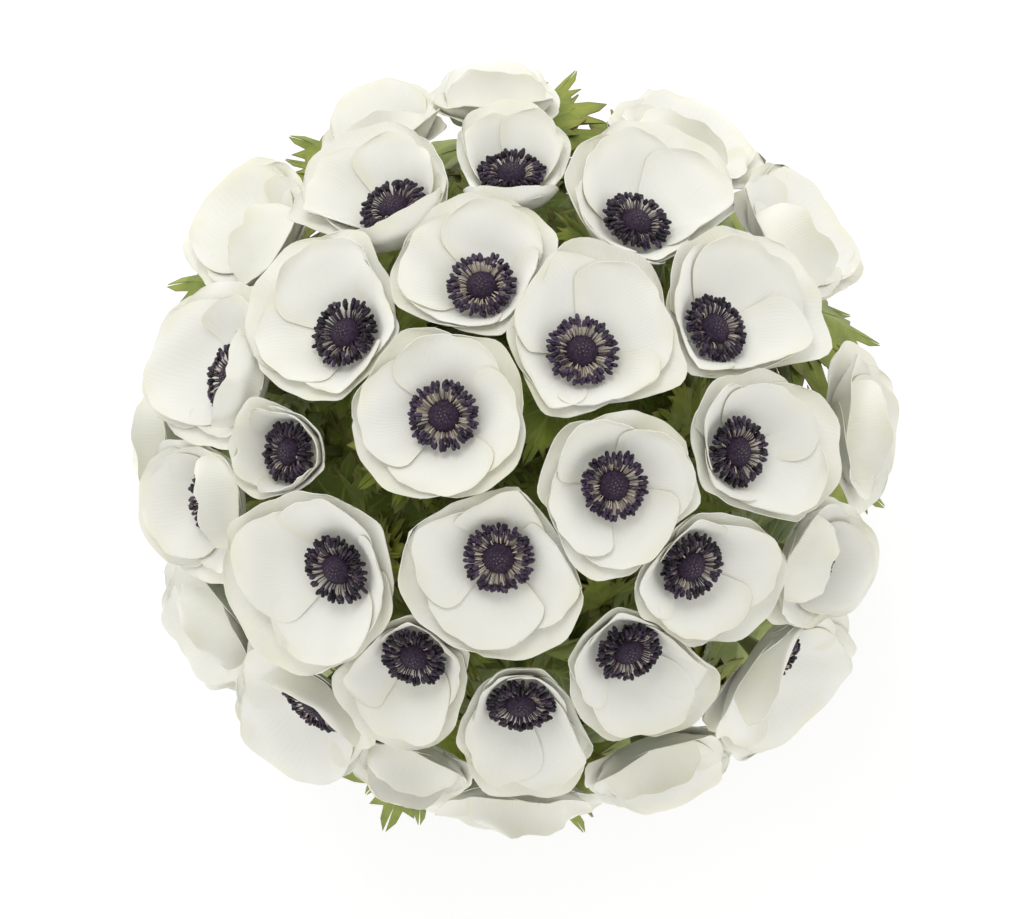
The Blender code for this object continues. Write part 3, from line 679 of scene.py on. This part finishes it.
def leaf_look(nodes):
    """Fresh olive green with paler ribs and brownish tips, darkened by a tone that is partly painted
    shade.
    """
    skin = nodes.mottle((0.175, 0.235, 0.026), (0.32, 0.37, 0.048), 70)["Colour"]
    # Tone darkens the leaf: a random tone, plus painted shade that is deepest under the blooms
    toned_and_shaded = nodes.mix(nodes.times(nodes.mark("tone"), 0.7), skin, (0.09, 0.13, 0.018))
    rib = nodes.ramp(nodes.mark("rib"), 0.55, 1.0)
    ribbed = nodes.mix(nodes.times(rib, 0.5), toned_and_shaded, (0.36, 0.41, 0.10))
    tip = nodes.times(nodes.ramp(nodes.mark("tip"), 0.9, 1.0), 0.6)
    tipped = nodes.mix(tip, ribbed, (0.25, 0.17, 0.08))
    veins = nodes.lines("tip", count=16, wander=0.8, scale=120)
    return tipped, nodes.relief(nodes.line(veins, 0.3, rib), 0.25 * MM, 0.6)


def stem_look(nodes):
    """Ribbed pale green, flushed with brown under the bloom."""
    skin = nodes.mottle((0.16, 0.25, 0.05), (0.27, 0.36, 0.10), 40)["Colour"]
    flush = nodes.times(nodes.ramp(nodes.mark("climb"), 0.75, 1.0), 0.5)
    flushed = nodes.mix(flush, skin, (0.22, 0.16, 0.10))
    ribs = nodes.lines("round", count=11, wander=0.3, scale=20)
    return flushed, nodes.relief(ribs, 0.3 * MM, 0.6)


def cut_look(nodes):
    """Pale wet pith of a cut stem end."""
    return nodes.mottle((0.50, 0.56, 0.30), (0.66, 0.70, 0.47), 600)["Colour"], None


def twine_look(nodes):
    """Straw-coloured fibres, with painted shade in the grooves between them."""
    skin = nodes.mottle((0.40, 0.29, 0.15), (0.62, 0.50, 0.31), 300)["Colour"]
    fibres = nodes.lines("round", count=5, wander=1.0, scale=400)
    # Painted shade in lines between the fibres
    groove_shaded = nodes.mix(nodes.times(fibres, 0.4), skin, (0.22, 0.15, 0.07))
    return groove_shaded, nodes.relief(fibres, 0.2 * MM, 0.8)


def floor_look(nodes):
    """Plain white paper."""
    return nodes.mottle((0.93, 0.93, 0.93), (0.95, 0.95, 0.95), 3)["Colour"], None


def finish(name, look, roughness, plain=()):
    """A material whose colour and relief come from look, and other values from plain."""
    made = bpy.data.materials.new(name)
    made.use_nodes = True
    nodes = Nodes(made.node_tree)
    shader = made.node_tree.nodes["Principled BSDF"].inputs
    base, normal = look(nodes)
    for socket, value in [("Base Color", base), ("Roughness", roughness), *plain]:
        nodes.feed(shader[socket], value)
    if normal:
        nodes.feed(shader["Normal"], normal)
    return made


PETAL_SHEEN = [("Sheen Weight", 0.35), ("Sheen Roughness", 0.5)]
HEART_DULL = [("Specular IOR Level", HEART_SHINE)]
FINISHES = {
    "petal": finish("petal_white", petal_look, 0.55, PETAL_SHEEN),
    "boss": finish("boss_aubergine", boss_look, 0.75, HEART_DULL),
    "stamen": finish("stamens", stamen_look, 0.42, HEART_DULL),
    "leaf": finish("leaf_green", leaf_look, 0.5, [("Specular IOR Level", LEAF_SHINE)]),
    "stem": finish("stem_green", stem_look, 0.45),
    "cut": finish("stem_cut", cut_look, 0.3),
    "twine": finish("twine_straw", twine_look, 0.85),
}


# Petals

def pair_of(bloom):
    """The bloom's pair and its mate there, or its own name and None."""
    for pair in PAIRS:
        circle, *numbers = pair.split("_")
        names = [f"{circle}_{number}" for number in numbers]
        if bloom.name in names:
            names.remove(bloom.name)
            return pair, next(other for other in BLOOMS if other.name == names[0])
    return bloom.name, None


def cup_height(radius, reach, depth):
    along = np.clip((radius - FLAT_BASE) / (reach - FLAT_BASE), 0, 1)
    rise = CUP_STRAIGHT * along + (1 - CUP_STRAIGHT) * smooth_step(along)
    return depth * rise + CUP_FLARE * radius


def petals_of(bloom):
    """The petals of both whorls. The first one points up for a hood, or to the bloom's mate."""
    chance = random.Random(bloom.name)
    looks = random.Random("looks of " + bloom.name)
    first = math.radians(bloom.turn)
    mate = pair_of(bloom)[1]
    if bloom.hood:
        first = math.pi
    elif mate:
        towards = frame_of(bloom).inverted() @ heart_of(mate)
        first = math.atan2(towards.y, towards.x)
    skirt = bloom.tilt > SKIRT_FROM
    saucer = smooth_step((bloom.tilt - SAUCER_FROM) / (SAUCER_TO - SAUCER_FROM))
    depth = bloom.depth * (SAUCER + (1 - SAUCER) * saucer)
    swell = looks.uniform(0, FULL_TURN)
    made = []
    for whorl, count in enumerate((OUTER_PETALS, SKIRT_INNER_PETALS if skirt else INNER_PETALS)):
        reach = bloom.radius * (INNER_WHORL_REACH if whorl else 1.0)
        for k in range(count):
            length = reach * chance.uniform(*LENGTHS)
            deeper = chance.uniform(*DEPTHS[whorl])
            angle = first + FULL_TURN * (k + 0.5 * whorl) / count + looks.uniform(*TURNS)
            half_width = reach * PETAL_WIDTHS[whorl] * OUTER_PETALS / count * chance.uniform(*WIDTHS)
            chance.random()  # Unused, but the draws after it depend on it
            made.append(SimpleNamespace(
                whorl=whorl,
                angle=angle,
                reach=length,
                depth=depth * deeper,
                half_width=half_width,
                spread=math.pi / count * PETAL_SPREAD,
                spoon=chance.uniform(*SPOONS),
                lean=looks.uniform(*LEANS),
                notch=max(0, looks.uniform(*NOTCHES)),
                wave=looks.uniform(0, FULL_TURN),
                curl=0 if skirt else max(0, looks.uniform(*CURLS)),
                hood=bloom.hood * max(0, -math.cos(angle)) ** 2,
                yields=0 if skirt else SHORTER_IS_LOWER,
                slack=SKIRT_SLACK if skirt else 0,
                swell=swell,
                tone=looks.uniform(0, 1),
            ))
    return made


def swell_at(x, y, phase):
    """Gentle rises and falls that all petals of a bloom share, so that they stay in layers."""
    wide = np.sin(SWELL_X * x + phase) * np.sin(SWELL_Y * y + 2 * phase)
    return wide + SHORT_SWELL * np.sin(SHORT_SWELL_X * x - SHORT_SWELL_Y * y + 3 * phase)


def flat_petal(petal, u, length, claw):
    """The petal laid flat: radius and angle of its points, its cap, and its rim and waved edge."""
    cap_from = CAP_FROM - HOOD_ROUNDER * petal.hood
    cap = np.maximum(0, (length - cap_from) / (1 - cap_from))
    across = u * np.sqrt(1 - cap ** 2 / 2)
    along = length - (1 - cap_from) * cap * (1 - np.sqrt(1 - u ** 2 / 2))
    blade_long = petal.reach - CLAW
    radius = ROOT + (CLAW - ROOT) * claw + blade_long * along
    rim = np.maximum(np.abs(u), length) * np.ones_like(radius)
    edge = smooth_step((rim - EDGE_FROM) / (1 - EDGE_FROM)) * length
    radius = radius - petal.notch * np.exp(-(u / NOTCH_WIDTH) ** 2) * cap ** NOTCH_SHARP
    radius = radius + edge * (EDGE_WAVE * np.sin(EDGE_WAVE_FAST * u + petal.wave)
                              + EDGE_RIPPLE * np.sin(EDGE_RIPPLE_FAST * u))
    widen = CLAW_WIDTH + (1 - CLAW_WIDTH) * smooth_step(length / CAP_FROM)
    middle = ROOT + (CLAW - ROOT) * claw + blade_long * length
    half = np.minimum(petal.half_width * widen / np.maximum(middle, CLAW), petal.spread)
    angle = petal.angle + across * half * claw + petal.lean * length ** 2
    return radius, angle, cap, rim, edge


def stretch_of(bloom, petal, walls, room, angle, slack):
    """How much longer each part of the petal is than drawn, and how much lower its cup."""
    brim = (petal.depth + CUP_FLARE * petal.reach) * slack
    hooded = min(1, petal.hood)
    most = PETAL_MOST + (HOOD_MOST - PETAL_MOST) * hooded
    part = petal.reach / bloom.radius
    lower = 1.0
    for _ in range(REACH_ROUNDS):
        reach = part * outline_reach(bloom, angle, brim * lower, most)
        allowed = limited(angle, brim * lower, walls, room, reach)
        allowed = allowed + (HOOD_MOST * bloom.radius - allowed) * hooded ** 2
        lower = 1 - petal.yields * np.clip(1 - allowed / (part * bloom.radius), 0, 1)
    return (allowed - CLAW) / (petal.reach - CLAW), lower


def petal_sheet(bloom, petal, walls):
    """Grid of the petal's points from claw to tip and side to side, and its marks."""
    u = np.linspace(-1, 1, PETAL_COLUMNS)[None, :]
    t = np.linspace(0, 1, PETAL_ROWS)[:, None]
    claw = np.minimum(1, t / CLAW_SHARE)
    length = np.maximum(0, (t - CLAW_SHARE) / (1 - CLAW_SHARE))
    radius, angle, cap, rim, edge = flat_petal(petal, u, length, claw)

    # The cup, with a spooned, curled and waved blade in its layer
    height = cup_height(radius, petal.reach, petal.depth)
    height += petal.spoon * u ** 2 * length + PETAL_TUCK * u * claw
    height += petal.curl * smooth_step((cap - CURL_FROM) / (1 - CURL_FROM)) ** 2
    lift = np.sin(LIFT_ACROSS * u + LIFT_ALONG * length + 2 * petal.wave)
    height += EDGE_LIFT * edge * lift
    height += INNER_WHORL_UP * petal.whorl

    # Stretched to the outline and the walls
    room = WALL_ROOM + LAYER_ROOM * (INNER_WHORL_UP * petal.whorl + PETAL_TUCK * (1 + u))
    slack = 1 - petal.slack * (1 - np.maximum(0, np.cos(angle)))
    height *= slack
    share, lower = stretch_of(bloom, petal, walls, room, angle, slack)
    radius = np.where(radius > CLAW, CLAW + (radius - CLAW) * share, radius)
    height *= 1 + (lower * (1 - HOOD_SHALLOWER * petal.hood) - 1) * smooth_step(length)

    # Bent up and over the heart where there is a hood
    bend = petal.hood * math.pi / 2 * smooth_step((radius - HOOD_FROM) / HOOD_OVER)
    step = np.diff(radius, axis=0, prepend=radius[:1])
    height = height + np.cumsum(step * np.sin(bend), axis=0)
    flat = radius
    radius = radius[:1] + np.cumsum(step * np.cos(bend), axis=0)
    angle = petal.angle + (angle - petal.angle) * (flat / radius) ** HOOD_WRAPS

    x, y = radius * np.cos(angle), radius * np.sin(angle)
    height += SWELL * swell_at(x, y, petal.swell) * smooth_step((radius - CLAW) / CLAW)
    sheet = kept_inside(np.stack([x, y, height], -1), walls, room)
    marks = {"across": u * np.ones_like(radius), "along": t * np.ones_like(radius), "rim": rim}
    return sheet, marks


def build_petals(bloom):
    """Both whorls of a bloom, for the solid that it may share with the bloom it presses on."""
    shape = Shape()
    walls = walls_of(bloom)
    for petal in petals_of(bloom):
        sheet, marks = petal_sheet(bloom, petal, walls)
        points, faces = blade(sheet, PETAL_THICKNESS, np.array((0, 0, 1)))
        points = kept_inside(points, walls, WALL_ROOM / 2)
        both = {name: np.stack([values, values]) for name, values in marks.items()}
        shape.add(points, faces, tone=petal.tone, **both)
    node = "petals_" + pair_of(bloom)[0]
    shape.piece("bloom_" + bloom.name, ["petal"], "petal_white", [node], frame_of(bloom))


# Heart: the boss of pistils in its ring of stamens

def beside(turn, length):
    """Level vectors at right angles to the bearings in turn, one for each of length points."""
    side = np.stack([-np.sin(turn), np.cos(turn), 0 * turn], -1)[:, None, :]
    return side * np.ones((1, length, 1))


def add_boss(shape, size):
    """Adds a low dome set with short styles on a sunflower spiral."""
    rings = np.linspace(0, 1, BOSS_RINGS)
    radius = BOSS_RADIUS * np.sin(rings * math.pi * BOSS_ROUND)
    height = BOSS_LOW + BOSS_TALL * (1 + np.cos(rings * math.pi * BOSS_FALL)) / 2
    line = np.stack([0 * radius, 0 * radius, height], -1)[::-1][None]
    side = np.broadcast_to(np.array((1.0, 0, 0)), line.shape)
    shape.add(*swept(line, (radius * size)[::-1], BOSS_SIDES, side), middle=0)
    number = np.arange(STYLES) + 0.5
    share = np.sqrt(number / STYLES)
    turn = number * math.pi * (3 - math.sqrt(5))
    fall = share * math.pi * 0.5
    out = np.stack([np.sin(fall) * np.cos(turn), np.sin(fall) * np.sin(turn), np.cos(fall)], -1)
    sunk = np.array((BOSS_RADIUS * size, BOSS_RADIUS * size, BOSS_TALL)) * STYLES_SUNK
    base = out * sunk
    base[:, 2] += BOSS_LOW
    along = np.array(STYLE_STEPS)[None, :, None] * STYLE_LENGTH
    lines = base[:, None, :] + out[:, None, :] * along
    styles = swept(lines, STYLE_RADII, STYLE_SIDES, beside(turn, len(STYLE_STEPS)))
    shape.add(*styles, middle=np.repeat(1 - share, len(STYLE_STEPS) * STYLE_SIDES))


def add_stamens(shape, bloom, size):
    """Adds filaments that arch out from under the boss, each with an oblong anther."""
    chance = np.random.default_rng(BLOOMS.index(bloom) + STAMEN_SEED)
    root = STAMEN_ROOT * size
    bend = FILAMENT_STEPS[None, :]
    stalk, body = len(FILAMENT_STEPS), len(ANTHER_STEPS)
    along = np.concatenate([FILAMENT_STEPS, np.ones(body)])
    radii = np.concatenate([np.full(stalk, FILAMENT_RADIUS), ANTHER_SWELL * ANTHER_RADIUS])
    dark = np.repeat([0, 1], [stalk + 1, body - 1])
    for count, reach, height in STAMEN_ROWS:
        apart = chance.uniform(-STAMEN_APART, STAMEN_APART, count)
        turn = FULL_TURN * (np.arange(count) + apart) / count
        turn += chance.uniform(0, FULL_TURN)
        far = reach * size + chance.normal(0, STAMEN_STRAY, count)
        high = height + chance.normal(0, STAMEN_STRAY, count)
        radius = root + (far - root - ANTHER_LENGTH / 2)[:, None] * bend ** FILAMENT_ARCH
        arch = np.sin(bend * math.pi / 2 * FILAMENT_RISE)
        rise = STAMEN_ROOT_HIGH + (high - STAMEN_ROOT_HIGH)[:, None] * arch
        pitch = chance.normal(0.0, ANTHER_PITCH, count)[:, None]
        run = ANTHER_LENGTH * np.cos(pitch) * ANTHER_STEPS
        climb = ANTHER_LENGTH * np.sin(pitch) * (ANTHER_STEPS - 0.5)
        radius = np.concatenate([radius, (far - ANTHER_LENGTH / 2)[:, None] + run], 1)
        rise = np.concatenate([rise, high[:, None] + climb], 1)
        skew = chance.normal(0, STAMEN_SKEW, count)[:, None]
        angle = turn[:, None] + skew * along
        lines = np.stack([radius * np.cos(angle), radius * np.sin(angle), rise], -1)
        stamens = swept(lines, radii, STAMEN_SIDES, beside(turn, len(radii)))
        anther = np.broadcast_to(dark[None, :, None], (count, len(dark), STAMEN_SIDES))
        # A random tone, plus painted shade on the hearts of tilted blooms
        tone = chance.uniform(0, 1, count) + (TILTED_HEART_SHADE if bloom.tilt > SHADED_FROM_TILT else 0)
        tone = np.broadcast_to(tone[:, None, None], anther.shape)
        shape.add(*stamens, anther=anther, tone=tone)


def build_heart(bloom):
    """The boss and the stamens, smaller in small blooms."""
    size = min(1, 1 - HEART_GROWS * (1 - bloom.radius / FULL_HEART_FROM))
    boss, stamens = Shape(), Shape()
    add_boss(boss, size)
    add_stamens(stamens, bloom, size)
    node, place = "heart_" + bloom.name, frame_of(bloom)
    boss.piece("boss_" + bloom.name, ["boss"], "heart_dark", [node], place)
    stamens.piece("stamens_" + bloom.name, ["stamen"], "heart_dark", [node], place)


# Stems

def tie_sites():
    """Close-packed places for all the stems in the tie, from the middle outwards."""
    sites = [Vector((a + b / 2, b * math.sqrt(3) / 2, 0)) * TIE_SPACING
             for a in TIE_ROWS for b in TIE_ROWS]
    sites.sort(key=lambda site: (round(site.length, 6), math.atan2(site.y, site.x)))
    return sites[:len(BLOOMS)]


def tie_radius():
    return max(site.length for site in tie_sites())


def planted():
    """For each bloom its place in the tie, the nearest free one to where its stem would go."""
    free = tie_sites()
    places = {}
    for bloom in sorted(BLOOMS, key=lambda bloom: bloom.tilt):
        bearing = math.radians(bloom.bearing - SPIRAL_ABOVE)
        reach = tie_radius() * min(1, bloom.tilt / TIE_RIM_FROM)
        wish = Vector((math.cos(bearing), math.sin(bearing), 0)) * reach
        places[bloom.name] = min(free, key=lambda site: (site - wish).length)
        free.remove(places[bloom.name])
    return places


def stem_path(bloom, place):
    """The stem's line from its bloom down through the tie to the floor, in metres."""
    axis = axis_of(bloom)
    head = heart_of(bloom) + axis * (HUB_LOW * MM - STEM_TOP_GAP)
    tie = place + UP * TIE_HEIGHT
    foot = Matrix.Rotation(-math.radians(SPIRAL_BELOW), 3, "Z") @ place * FOOT_SPREAD
    climb = (tie - foot).normalized()
    reach = (head - tie).length
    bend_high = head - axis * reach * BEND_HIGH
    bend_low = tie + climb * reach * BEND_LOW
    line = []
    for step in range(STEM_RINGS):
        t = step / (STEM_RINGS - 1)
        line.append(head * (1 - t) ** 3 + bend_high * 3 * t * (1 - t) ** 2
                    + bend_low * 3 * t * t * (1 - t) + tie * t ** 3)
    below = [tie.lerp(foot, (step + 1) / RINGS_BELOW_TIE) for step in range(RINGS_BELOW_TIE)]
    return line + below


def build_stems(places):
    """All stems, each swelling into the seat of its petals, with level cut ends."""
    shape = Shape()
    for bloom in BLOOMS:
        line = np.array([tuple(point) for point in stem_path(bloom, places[bloom.name])]) / MM
        down = np.linalg.norm(np.diff(line, axis=0), axis=1).cumsum()
        down = np.concatenate([[0], down])
        swell = (SEAT_RADIUS - STEM_RADIUS) * np.exp(-(down * MM / (SEAT_FALL * SEAT_TALL)) ** 2)
        radii = (STEM_RADIUS + swell) / MM
        points, faces = swept(line[None], radii[None], STEM_SIDES, carried(line)[None])
        climb = line[-1] - line[-2]
        foot = points[-STEM_SIDES:]
        foot -= climb * (foot[:, 2:] / climb[2])
        round_mark = np.tile(np.arange(STEM_SIDES) / STEM_SIDES, len(line))
        climb_mark = np.repeat(1 - down / down[-1], STEM_SIDES)
        shape.add(points, faces, round=round_mark, climb=climb_mark)
        shape.finishes[-1] = 1
    shape.piece("stems", ["stem", "cut"], "green", ["stems_and_leaves"])


# Leaves

def leaf_edge():
    """Rows of a leaf's right half: where the row leaves the midrib, and its end on the edge.

    The last value of a row is 1 where the row is a lobe's rib.
    """
    rows = [(0.0, 0.0, FOOT_WIDTH, 0)]

    def row(start, root, turn, reach, rib=0):
        along, side = polar(reach, turn)
        rows.append((start, root + along, side, rib))

    ends = [lobe.start for lobe in LOBES[1:]] + [TERMINAL_FROM]
    for lobe, ahead in zip(LOBES, ends):
        for steps, turn, share in LOBE_ROWS:
            start = lobe.start + steps * ROW_STEP
            row(start, lobe.start, lobe.turn + turn, share * lobe.reach, steps == 0)
        sinus = (lobe.start + ahead) / 2 + SINUS_ON
        row(ahead - SINUS_STEPS * ROW_STEP, sinus, lobe.turn, SINUS_REACH)
    for ahead, turn, share in TERMINAL_ROWS:
        row(TERMINAL_FROM + ahead, TERMINAL_FROM, turn, share * (1 - TERMINAL_FROM))
    row(TERMINAL_FROM + TIP_ON, 1.0, 90, TIP_WIDTH)
    return np.array(rows)


def under_blooms(points):
    """Keeps a leaf's points, in millimetres, below the shell that the blooms sit on."""
    centre = np.array(DOME_CENTRE) / MM
    out = points - centre
    length = np.linalg.norm(out, axis=-1)
    tilt = np.degrees(np.arccos(np.clip(out[..., 2] / length, -1, 1)))
    shell = (dome_radius(tilt) - LEAVES_UNDER) / MM
    return centre + out * np.minimum(1, shell / length)[..., None]


def add_leaf(shape, root, tip, up, chance, limit=under_blooms, wider=1, painted_shade=0):
    """Adds a cut leaf in millimetres from root to tip, its face to up, kept in by limit."""
    out = tip - root
    length = out.length
    out.normalize()
    up = (up - out * up.dot(out)).normalized()
    side = up.cross(out)
    start, along_edge, side_edge, rib = leaf_edge().T[:, :, None]
    v = np.linspace(-1, 1, LEAF_COLUMNS)[None, :]
    share = np.abs(v)
    along = start + (along_edge - start) * share
    across = side_edge * v * wider
    arch = LEAF_ARCH * np.sin(math.pi * along) - LEAF_FOLD * np.abs(across)
    wave = chance.uniform(-LEAF_WAVE, LEAF_WAVE) * np.sin(LEAF_WAVE_FAST * along)
    arch = arch - LEAF_DROOP * across ** 2 + wave
    out, side, up = np.array(out), np.array(side), np.array(up)
    sheet = out * along[..., None] + side * across[..., None] + up * arch[..., None]
    sheet = limit(np.array(root) + sheet * length)
    ribs = np.maximum(rib, 1 - RIB_NARROWS * share) * (1 - RIB_FADES * share)
    both = {"rib": np.stack([ribs, ribs]), "tip": np.stack([share * np.ones_like(along)] * 2)}
    # A random tone, plus painted shade: darker for leaves deep under the blooms, lighter for showing
    # ones
    tone = chance.uniform(*LEAF_TONES) + painted_shade
    shape.add(*blade(sheet, LEAF_THICKNESS, up), tone=tone, **both)


def corners_of(bloom, first, second):
    """Ways out, in the plane of first and second, to where three blooms meet, and how far."""
    here = axis_of(bloom)
    near = []
    for other in BLOOMS:
        there = axis_of(other)
        apart = here.angle(there)
        if other != bloom and apart < CORNER_NEAR * (bloom.radius + other.radius) * MM / DOME_RADIUS:
            near.append((math.atan2(there.dot(second), there.dot(first)), apart))
    near.sort()
    corners = []
    for k, (angle, apart) in enumerate(near):
        after, far = near[(k + 1) % len(near)]
        gap = (after - angle) % FULL_TURN
        if gap < math.radians(CORNER_WIDEST):
            corners.append((angle + gap / 2, CORNER_REACH * (apart + far) / 2))
    return corners


def build_collar(bloom, place):
    """Cut leaves on the stem below the bloom: to their showing spots, a collar, and deep ones."""
    shape = Shape()
    line = stem_path(bloom, place)
    up = axis_of(bloom)
    root = (line[0] - up * COLLAR_BELOW) / MM
    first = up.orthogonal().normalized()
    second = up.cross(first)

    chance = random.Random("collar " + bloom.name)

    def sideways(angle):
        return first * math.cos(angle) + second * math.sin(angle)

    start = chance.uniform(0, FULL_TURN)
    spots = [spot for spot in SHOWING if spot.under == bloom.name]
    for spot in spots:
        tip = (DOME_CENTRE + axis_of(spot) * spot.reach * MM) / MM
        start = math.atan2((tip - root).dot(second), (tip - root).dot(first))
        past_edge = spot.reach * MM > DOME_RADIUS
        limit = np.array if past_edge else under_blooms
        reach = (tip - root) * (1 if past_edge else SHOWS_PAST)
        add_leaf(shape, root, root + reach, up, chance, limit, SHOWING_WIDER, SHOWING_SHADE)
        for turn, share in COMPANIONS:
            turn *= PAST_EDGE_TURN if past_edge else 1
            turned = Matrix.Rotation(math.radians(turn), 3, up) @ reach
            add_leaf(shape, root, root + turned * share, up, chance, limit, 1, SHOWING_SHADE)
    for k in range(1 if spots else 0, COLLAR_LEAVES):
        out = sideways(start + FULL_TURN * k / COLLAR_LEAVES) + up * COLLAR_RISE
        tip = root + out * (COLLAR_LENGTH + COLLAR_LONGER * bloom.tilt / 90)
        add_leaf(shape, root, tip, up, chance)
    for angle, apart in corners_of(bloom, first, second):
        way = up * math.cos(apart) + sideways(angle) * math.sin(apart)
        tip = DOME_CENTRE + way * (dome_radius(bloom.tilt) - CORNER_DEEP)
        add_leaf(shape, root, tip / MM, up, chance, wider=DEEP_WIDER, painted_shade=CORNER_SHADE)
    for k in range(DEEP_LEAVES):
        angle = start + FULL_TURN * (k + 0.5 + chance.uniform(*DEEP_TURN)) / DEEP_LEAVES
        deep = up * (HUB_LOW - chance.uniform(*DEEP_DOWN))
        tip = heart_of(bloom) / MM + sideways(angle) * chance.uniform(*DEEP_REACH) + deep
        add_leaf(shape, root, tip, up, chance, wider=DEEP_WIDER, painted_shade=DEEP_SHADE)
    shape.piece("leaves_" + bloom.name, ["leaf"], "green", ["stems_and_leaves"])


# Tie

def twisted(shape, line, radius):
    """Adds two plies of twine twisted round each other along a line in millimetres."""
    steps = np.linalg.norm(np.diff(line, axis=0), axis=1)
    gone = np.concatenate([[0], steps.cumsum()])
    side = carried(line)
    other = np.cross(unit(np.gradient(line, axis=0)), side)
    for ply in range(2):
        angle = (gone * MM / PLY_TWIST * FULL_TURN + math.pi * ply)[:, None]
        strand = line + (np.cos(angle) * side + np.sin(angle) * other) * radius * PLY_OUT
        rod = swept(strand[None], radius * PLY_RADIUS, PLY_SIDES, side[None])
        round_mark = np.tile(np.arange(PLY_SIDES) / PLY_SIDES, len(line))
        shape.add(*rod, round=round_mark + np.repeat(gone, PLY_SIDES) * FIBRE_LAY)


def build_tie():
    """Three turns of twine round the stems, a knot and its two loose ends."""
    shape = Shape()
    radius = TWINE_RADIUS / MM
    inner = (tie_radius() + STEM_IN_TIE + TIE_ROOM) / MM
    low = TIE_HEIGHT / MM - (TIE_TURNS - 1) * radius
    facing = math.radians(KNOT_BEARING)
    for turn in range(TIE_TURNS):
        angle = facing + np.linspace(0, FULL_TURN, TURN_STEPS)
        away = inner + radius
        high = np.full(len(angle), low + 2 * radius * turn)
        twisted(shape, np.stack([away * np.cos(angle), away * np.sin(angle), high], -1), radius)
    turned = np.array(Matrix.Rotation(facing, 3, "Z"))
    knot_at = np.array((inner + 2 * radius + KNOT_OUT / MM, 0, TIE_HEIGHT / MM))
    t = np.linspace(0, FULL_TURN, KNOT_STEPS)
    loop = np.stack([-KNOT_DEEP * np.sin(3 * t), (np.sin(t) + 2 * np.sin(2 * t)) / 3,
                     (np.cos(t) - 2 * np.cos(2 * t)) / 3], -1)
    knot = knot_at + loop * (KNOT_SIZE / MM - radius) * np.array(KNOT_SHARES)
    twisted(shape, knot @ turned.T, radius * KNOT_TWINE)
    for side, share in ((1, 1), (-1, SHORT_END)):
        path = np.array([(out, side * along, rise) for out, along, rise in TWINE_END]) * share
        s = np.linspace(0, 1, END_STEPS)[:, None]
        curve = 2 * s * (1 - s) * path[0] * END_BOW + s ** 2 * path[1]
        twisted(shape, (knot_at + curve) @ turned.T, radius * END_TWINE)
    shape.piece("twine", ["twine"], "twine", ["twine_tie"])


# Stage

def build_stage():
    """A white floor, a wide soft lamp above and a white surround that is weaker above."""
    mesh = bpy.data.meshes.new("floor")
    corners = [(x * FLOOR_SIZE, y * FLOOR_SIZE, 0) for x, y in ((-1, -1), (1, -1), (1, 1), (-1, 1))]
    mesh.from_pydata(corners, [], [(0, 1, 2, 3)])
    glow = [("Emission Color", (1, 1, 1)), ("Emission Strength", FLOOR_GLOW)]
    mesh.materials.append(finish("floor_white", floor_look, 0.9, glow))
    placed("floor", mesh)
    world = bpy.data.worlds.new("surround")
    world.use_nodes = True
    bpy.context.scene.world = world
    nodes = Nodes(world.node_tree)
    way = nodes.add("ShaderNodeTexCoord").outputs["Generated"]
    high = nodes.add("ShaderNodeSeparateXYZ", {"Vector": way}).outputs["Z"]
    high = nodes.ramp(high, 0, SURROUND_TO)
    strength = nodes.line(high, SURROUND_ABOVE - SURROUND_BELOW, SURROUND_BELOW)
    background = world.node_tree.nodes["Background"].inputs
    nodes.feed(background["Color"], (1, 1, 1))
    nodes.feed(background["Strength"], strength)
    lamp = bpy.data.lights.new("key", "AREA")
    lamp.shape = "DISK"
    lamp.size = KEY_SIZE
    lamp.energy = KEY_POWER
    key = placed("key", lamp)
    key.location = KEY_AT
    key.rotation_euler = (DOME_CENTRE - Vector(KEY_AT)).to_track_quat("-Z", "Y").to_euler()


def build_camera():
    lens = bpy.data.cameras.new("camera")
    lens.lens = LENS
    lens.sensor_width = SENSOR
    lens.clip_end = CAMERA_SEES
    camera = placed("camera", lens)
    camera.location = CAMERA_AT
    bpy.context.scene.camera = camera


tie_places = planted()
for bloom in BLOOMS:
    build_petals(bloom)
    build_heart(bloom)
    build_collar(bloom, tie_places[bloom.name])
build_stems(tie_places)
build_tie()
build_stage()
build_camera()
bpy.context.scene.view_settings.view_transform = "Standard"
